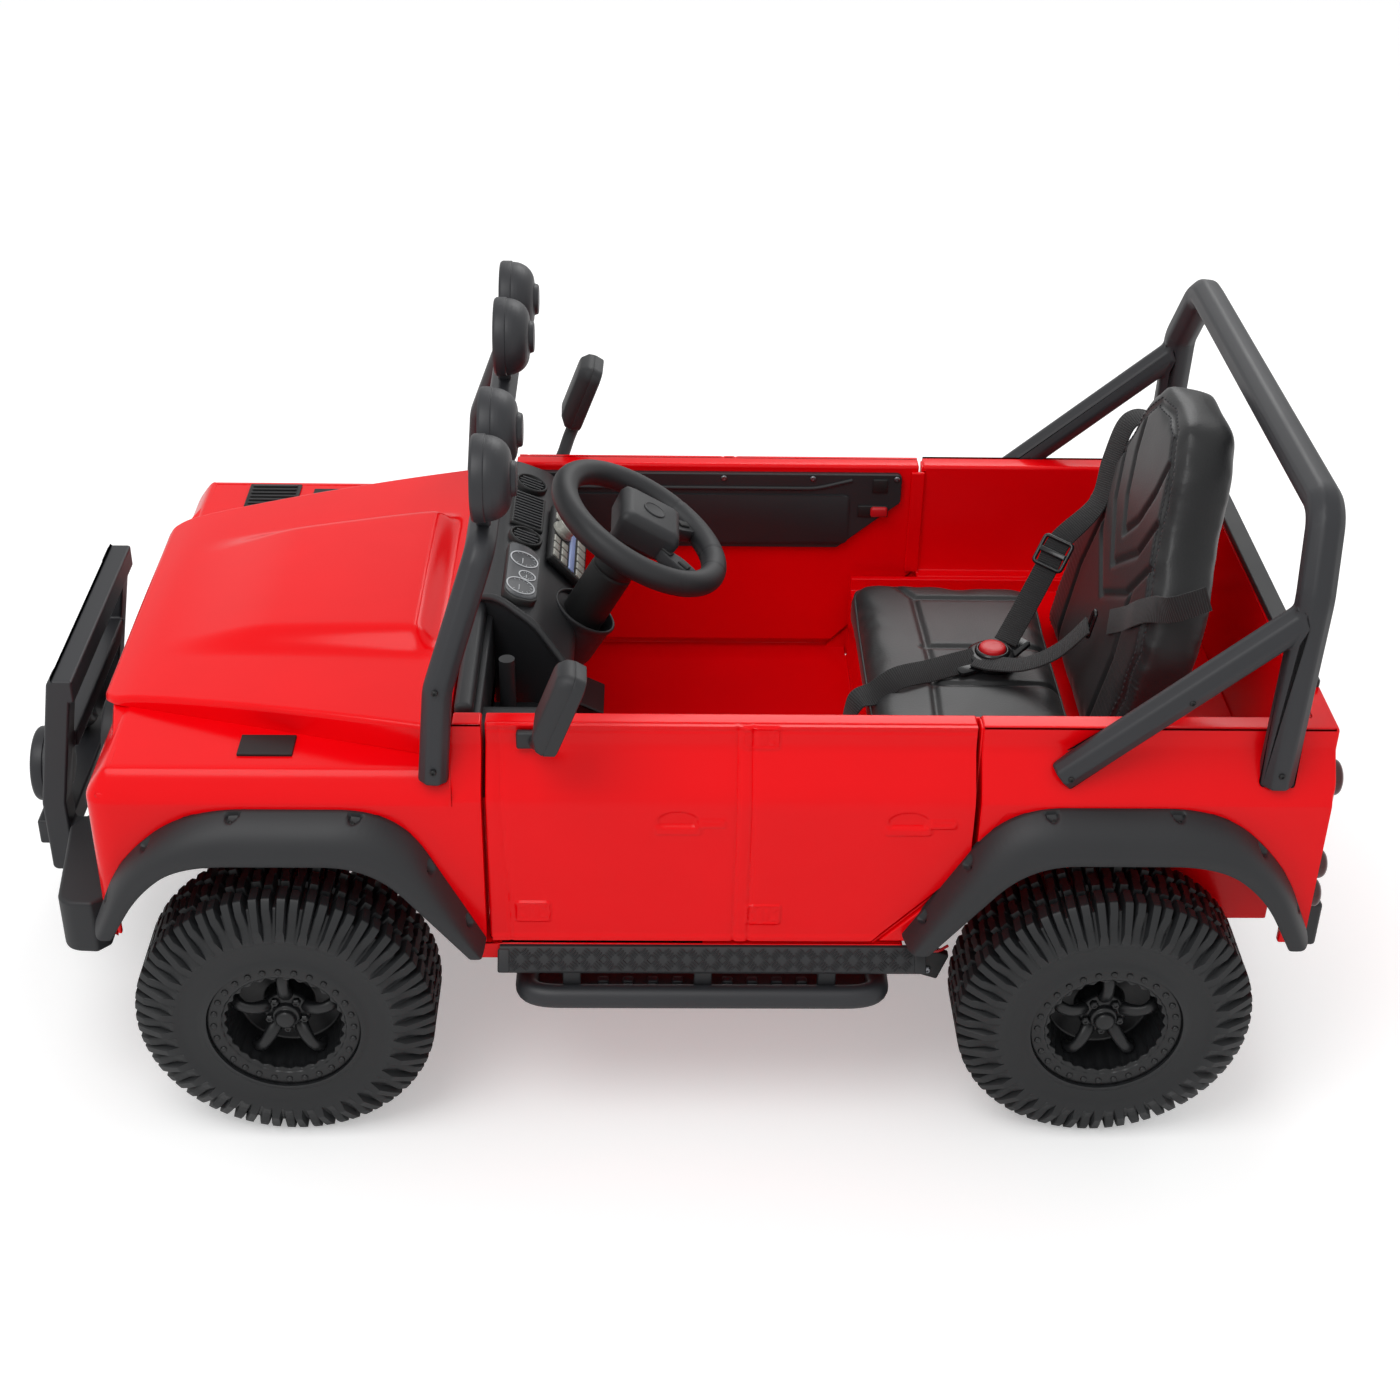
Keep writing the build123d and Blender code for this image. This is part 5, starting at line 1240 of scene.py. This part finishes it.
# %% Dash body and cubby
profile = [(238, 412), (238, 452), (206, 464), (166, 448), (126, 404), (140, 344), (212, 330), (232, 372)]
profile = eased(profile, [2, 6, 12, 10, 12, 12, 3, 3], 6, closed=True)
share = np.linspace(0, 1, 24)[:, None]
slant = 52 + (224 - profile[:, 0])[None] * 0.72
far_end = -255
across = far_end + share * (slant - far_end)
dash = np.stack(np.broadcast_arrays(profile[None, :, 0], across, profile[None, :, 1]), -1)
dash_body = surface("dash_body", dash, TRIM, caps=True, sharp=35.0)
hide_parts("dashboard")
lip = np.stack([profile[:, 0], slant[0] + 1.0, profile[:, 1]], 1)[2:-14]
bar("dash_lip", lip, 4.2, 12, (0, 1, 0), TRIM)
CUBBY = [
    # name, centre, half sizes, edge radius
    ("dash_cowl", (228, 152, 431), (9, 102, 21), 5.0), ("cubby_back", (216, 152, 394), (4, 102, 44), 2.0),
    ("cubby_floor", (174, 172, 348), (46, 82, 5), 3.0), ("cubby_ledge", (182, 229, 386), (46, 25, 38), 12.0),
]
for name, centre, half, radius in CUBBY:
    pillow_box(name, centre, half, radius, TRIM)
tray_axes = ((1, 0, 0.3), (0, 1, 0), (-0.3, 0, 1))
pillow_box("cubby_tray", (131, 172, 360), (4.5, 70, 14), 4.0, TRIM, axes=tray_axes)
post = [(0.02, -47), (8, -47), (8, 47), (0.02, 47)]
turned("cubby_bar", post, (192, 156, 398), (0, 0, 1), 24, TRIM, sharp=50.0)
# The cup that the steering column's shroud turns in
cup = [(29.5, -44), (33, -30), (34, 6), (36.5, 13), (36, 16), (33.4, 16), (32, 6), (30, -20)]
cup = eased(cup, 1.5, 4, closed=True)
turned("dash_cup", cup, (125.8, 0, 398), (-0.5, 0, 0.866), 56, TRIM, wrap=CLOSED, sharp=50.0)
print("dash body:", dash.shape[:2])

# %% Dial film, audio panel and vents
# A point on each slope of the dash, and the direction off it
FILM = (np.array([186.0, 0, 456]), np.array([-0.371, 0, 0.928]))
MEDIA = (np.array([146.0, 0, 426]), np.array([-0.74, 0, 0.673]))
AUDIO_Y, GRILLE_Y, VENT_Y, VENT_R = -108, -138, (-202, -74), 14.5
# y across, v up the slope, radius
DIALS = ((-16, 0, 15), (16, 5, 9), (41, -1, 15))


def slope_axes(slope):
    """Across, up the slope and off it."""
    return (ACROSS, -np.cross(ACROSS, slope[1]), slope[1])


def on_slope(slope, y, v, lift):
    """A point on a slope of the dash: y across, v up the slope, lift off it."""
    across, up, n = slope_axes(slope)
    return slope[0] + across * y + up * v + n * lift


def plate(name, slope, y, v, half, lift, finish, radius=1.5, thick=1.2):
    """A thin plate with rounded edges on a slope."""
    centre = on_slope(slope, y, v, lift)
    return pillow_box(name, centre, (*half, thick), min(radius, thick), finish, axes=slope_axes(slope))


film_line = eased([(-46, -17), (58, -17), (66, -4), (58, 17), (-34, 17), (-46, 4)], 8, 6, closed=True)
u, w, n = slope_axes(FILM)
rim = stacked("film_bezel", film_line * 1.08, FILM[0] + n, (u, w, n), [(-2, 1), (5, 1), (6.5, 0.98)], DARK)
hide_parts("instrument_panels")
stacked("dial_film", film_line, FILM[0] + n * 7.4, (u, w, n), [(-1, 1), (0.4, 1), (0.7, 0.99)], DIAL)
mark = [(-1.3, -0.25, 0), (1.3, -0.25, 0), (1.3, 0.25, 0), (-1.3, 0.25, 0)]
turn = np.linspace(-2.2, 2.2, 11)[:, None]
ray = np.sin(turn) * u + np.cos(turn) * w
frames = np.stack([ray, np.cross(n, ray), np.broadcast_to(n, ray.shape)], 1)
for i, (y, v, r) in enumerate(DIALS):
    centre = on_slope(FILM, y, v, 8.3)
    band = [(r - 0.7, 0), (r - 0.7, 0.5), (r + 0.7, 0.5), (r + 0.7, 0)]
    turned(f"dial_ring_{i}", band, centre, n, 48, PALE)
    ticks = repeated(mark, [[0, 1, 2, 3]], frames, centre + ray * (r - 3) + n * 0.35)
    piece(f"dial_ticks_{i}", *ticks, PALE)
    plate(f"dial_needle_{i}", FILM, y + r * 0.25, v - r * 0.1, (r * 0.35, 0.5), 8.5, PALE, 0.3, 0.4)
plate("audio_frame", MEDIA, AUDIO_Y, 0, (62, 27), 6.5, DARK, 3.0, 4.5)
for i, y in enumerate(np.linspace(-50, 50, 7)):
    plate(f"audio_key_{i}", MEDIA, AUDIO_Y + y, 17, (7.2, 6.2), 11.2, SILVER)
plate("audio_strip", MEDIA, AUDIO_Y, 3.6, (56, 4.2), 11.0, DISPLAY)
buttons = [(y, v) for ys in ((18, 34, 50), (-34, -50)) for v in (-8, -20) for y in ys]
for i, (y, v) in enumerate(buttons):
    plate(f"audio_button_{i}", MEDIA, AUDIO_Y + y, v, (6.8, 4.6), 11.2, SILVER)
knob = eased([(13, 0), (13, 3), (11.5, 4.2), (11, 9), (9.5, 11), (0.02, 11.4)], 0.8, 3)
turned("audio_knob", knob, on_slope(MEDIA, -116, -14, 10.8), MEDIA[1], 40, SILVER, sharp=35.0)
eye = eased([(19, -3), (19, 4), (17.5, 5.4), (16, 5), (15, 1), (0.02, 0.6)], 0.8, 3)
for i, y in enumerate(VENT_Y):
    # Painted shade: each ring closes in a dark disc behind the slats, where the vent's opening would be
    turned(f"vent_ring_{i}", eye, on_slope(FILM, y, 0, 1.5), n, 44, DARK, sharp=35.0)
    for k in (-9, -3, 3, 9):
        plate(f"vent_slat_{i}_{k}", FILM, y + k, 0, (1.3, np.sqrt(VENT_R**2 - k * k)), 4.4, TRIM, 0.8, 1.6)
# Painted shade: the dark plate behind the grille slats stands for the openings between them
plate("grille_frame", FILM, GRILLE_Y, 0, (38, 19), 1.6, DARK, 2.0, 2.4)
for k in range(11):
    plate(f"grille_slat_{k}", FILM, GRILLE_Y + 6.4 * (k - 5), 0, (1.3, 16), 4.8, TRIM, 0.8, 1.4)
print("dash fittings set on two slopes")

# %% [markdown]
# ## Door cards, mirrors and small fittings
# Each card has a raised pocket panel, a ridge, a latch recess with a red slide and screws. The mirror
# heads are faceted boxes with a split line, and screws hold the bars. They are small plates and lathed
# heads set on the CAD faces.

# %% Cards, mirrors and screws
pocket = eased([(150, 362), (150, 420), (-184, 420), (-184, 356), (140, 356)], 8, 5, closed=True)
ridge = eased([(176, 428), (-145, 428), (-186, 439)], [0, 12, 0], 6)
head_line = [(-25, -33), (25, -37), (27, 30), (20, 37), (-18, 34), (-25, 26)]
head_line = eased(head_line, 5, 4, closed=True) * [1, 1.2]
head_rows = [(-13, 0.9), (-12, 0.95), (-2, 1.0), (-1.2, 0.985), (-0.4, 1.0), (6, 0.97), (13, 0.8), (14, 0.74)]
stem = flowing([(138, 338, 476), (146, 328, 460), (152, 312, 447), (156, 300, 441)], 30)
BAR_SCREWS = {
    "hoop": [(-456, 318.5, 500), (-552, 321, 420), (-352, 319, 414)],
    "pillar": [(252, 322.5, 420), (247, 317.4, 505)],
}
for side, word in SIDES:
    m = np.array([1, side, 1])
    body, mirror_body = f"{word}_door", BODY_OF[f"mirror_{word}"]
    inwards = (AHEAD, (0, 0, 1), (0, -side, 0))
    panel_rows = [(-1, 1), (1.6, 1), (2.4, 0.992)]
    stacked(f"card_panel_{word}", pocket, (0, side * 259.2, 0), inwards, panel_rows, TRIM, body)
    bar(f"card_ridge_{word}", out_at(ridge, side * 259.2), 2.6, 10, (0, 0, 1), TRIM, body)
    pillow_box(f"card_catch_{word}", (-219, side * 259, 432), (9, 2.0, 9), 1.5, DARK, body)
    # Painted shade: the dark block behind the red slide stands for the depth of the slot
    pillow_box(f"latch_slot_{word}", (-212, side * 258.8, 399), (18, 1.6, 7.5), 1.4, DARK, body)
    pillow_box(f"latch_slide_{word}", (-219, side * 257.6, 399), (10, 3.6, 6.5), 3.0, RED_BUTTON, body)
    places = [(x, side * 259.0, 441) for x in (-36, 96, -140, -238)]
    screws(f"card_screws_{word}", places, (0, -side, 0), 3.4, STEEL, body)
    head_axes = ((0, side, 0), (-0.36, 0, 0.93), (0.93, 0, 0.36))
    head_at = (132, side * 342, 509)
    head = stacked(f"mirror_head_{word}", head_line, head_at, head_axes, head_rows, TRIM, mirror_body)
    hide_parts(f"mirror_{word}")
    bar(f"mirror_stem_{word}", stem * m, 7.5, 16, AHEAD, TRIM, mirror_body)
    pillow_box(f"mirror_foot_{word}", (160, side * 295.5, 441), (15, 4.6, 9), 2.5, TRIM, mirror_body)
    for name, places in BAR_SCREWS.items():
        screws(f"{name}_screws_{word}", np.array(places) * m, (0, side, 0), 3.2, DARK)
LOUVRE_X, LOUVRE_Y, SLAT_AXES = 490, -263, (AHEAD, (0, 1, 0.4), (0, -0.4, 1))
# Painted shade: the dark plate under the slats stands for the openings between them
pillow_box("louvre_base", (LOUVRE_X, LOUVRE_Y, 410.6), (30, 28, 1.6), 1.2, DARK)
for k in range(6):
    slat_at = (LOUVRE_X, LOUVRE_Y + 8.6 * (k - 2.5), 412.6)
    pillow_box(f"louvre_{k}", slat_at, (26, 2.6, 1.0), 0.8, TRIM, axes=SLAT_AXES)
print("cards, mirrors and screws set")

# %% [markdown]
# ## Studio
# The photograph is a packshot on white, taken from above the left side with a mild telephoto lens. The
# camera matrix below was worked out from mirrored pairs of points and the circles of the wheels. The floor
# is a pale sheet that keeps the soft shadow, and two large lamps give the broad highlights that glossy
# plastic needs.

# %% Camera, floor and light
PITCH, YAW, ROLL = radians(32.38), radians(-1.55), radians(1.18)
EYE = np.array([48.0, 2009.0, 1573.0])
FOCAL_PX, PHOTO_PX, SENSOR_MM = 2166, 1400, 36.0
# Floor glow and sky strength: the floor glows for the camera alone, and the sky is white to it
FLOOR_GLOW, SKY_LIGHT, SKY_SEEN = 0.32, 0.75, 1.0
ahead = np.array([sin(YAW) * cos(PITCH), -cos(YAW) * cos(PITCH), -sin(PITCH)])
right = np.cross(ahead, [0, 0, 1])
right /= np.linalg.norm(right)
upward = np.cross(right, ahead)
camera = bpy.data.objects.new("camera", bpy.data.cameras.new("camera"))
camera.data.sensor_width = SENSOR_MM
camera.data.lens = SENSOR_MM * FOCAL_PX / PHOTO_PX
matrix = np.eye(4)
matrix[:3, 0] = cos(ROLL) * right + sin(ROLL) * upward
matrix[:3, 1] = -sin(ROLL) * right + cos(ROLL) * upward
matrix[:3, 2] = -ahead
matrix[:3, 3] = (EYE - ORIGIN) * MM
camera.matrix_world = Matrix(matrix.tolist())
scene.collection.objects.link(camera)
scene.camera = camera

floor_mesh = bpy.data.meshes.new("floor")
floor_mesh.from_pydata([(-9, -9, 0), (9, -9, 0), (9, 9, 0), (-9, 9, 0)], [], [(0, 1, 2, 3)])
floor = bpy.data.objects.new("floor", floor_mesh)
scene.collection.objects.link(floor)
paper, _ = new_finish("white_paper_sweep", None, "#F2F2F2", 0.9, Emission_Color=(1, 1, 1, 1))
seen = node(paper, "ShaderNodeLightPath").outputs["Is Camera Ray"]
glow = node(paper, "ShaderNodeMath", {0: seen, 1: FLOOR_GLOW}, operation="MULTIPLY").outputs[0]
paper.node_tree.links.new(glow, paper.node_tree.nodes["Principled BSDF"].inputs["Emission Strength"])
floor.data.materials.append(paper)

world = bpy.data.worlds.new("studio")
scene.world = world
world.use_nodes = True
background = world.node_tree.nodes["Background"]
background.inputs["Color"].default_value = (1, 1, 1, 1)
seen = node(world, "ShaderNodeLightPath").outputs["Is Camera Ray"]
span = node(world, "ShaderNodeMapRange", {"Value": seen, "To Min": SKY_LIGHT, "To Max": SKY_SEEN})
world.node_tree.links.new(span.outputs["Result"], background.inputs["Strength"])


def softbox(name, place, size, watts):
    """A round area lamp at a place in metres, turned to the middle of the toy."""
    light = bpy.data.lights.new(name, "AREA")
    light.shape, light.size, light.energy = "DISK", size, watts
    obj = bpy.data.objects.new(name, light)
    obj.location = Vector(place)
    obj.rotation_euler = (Vector((0, 0, 0.3)) - Vector(place)).to_track_quat("-Z", "Y").to_euler()
    scene.collection.objects.link(obj)


softbox("key", (0.8, 1.2, 2.6), 1.6, 22)
softbox("rim", (-0.6, -1.8, 2.0), 1.4, 14)
print("studio: camera, floor and two softboxes")
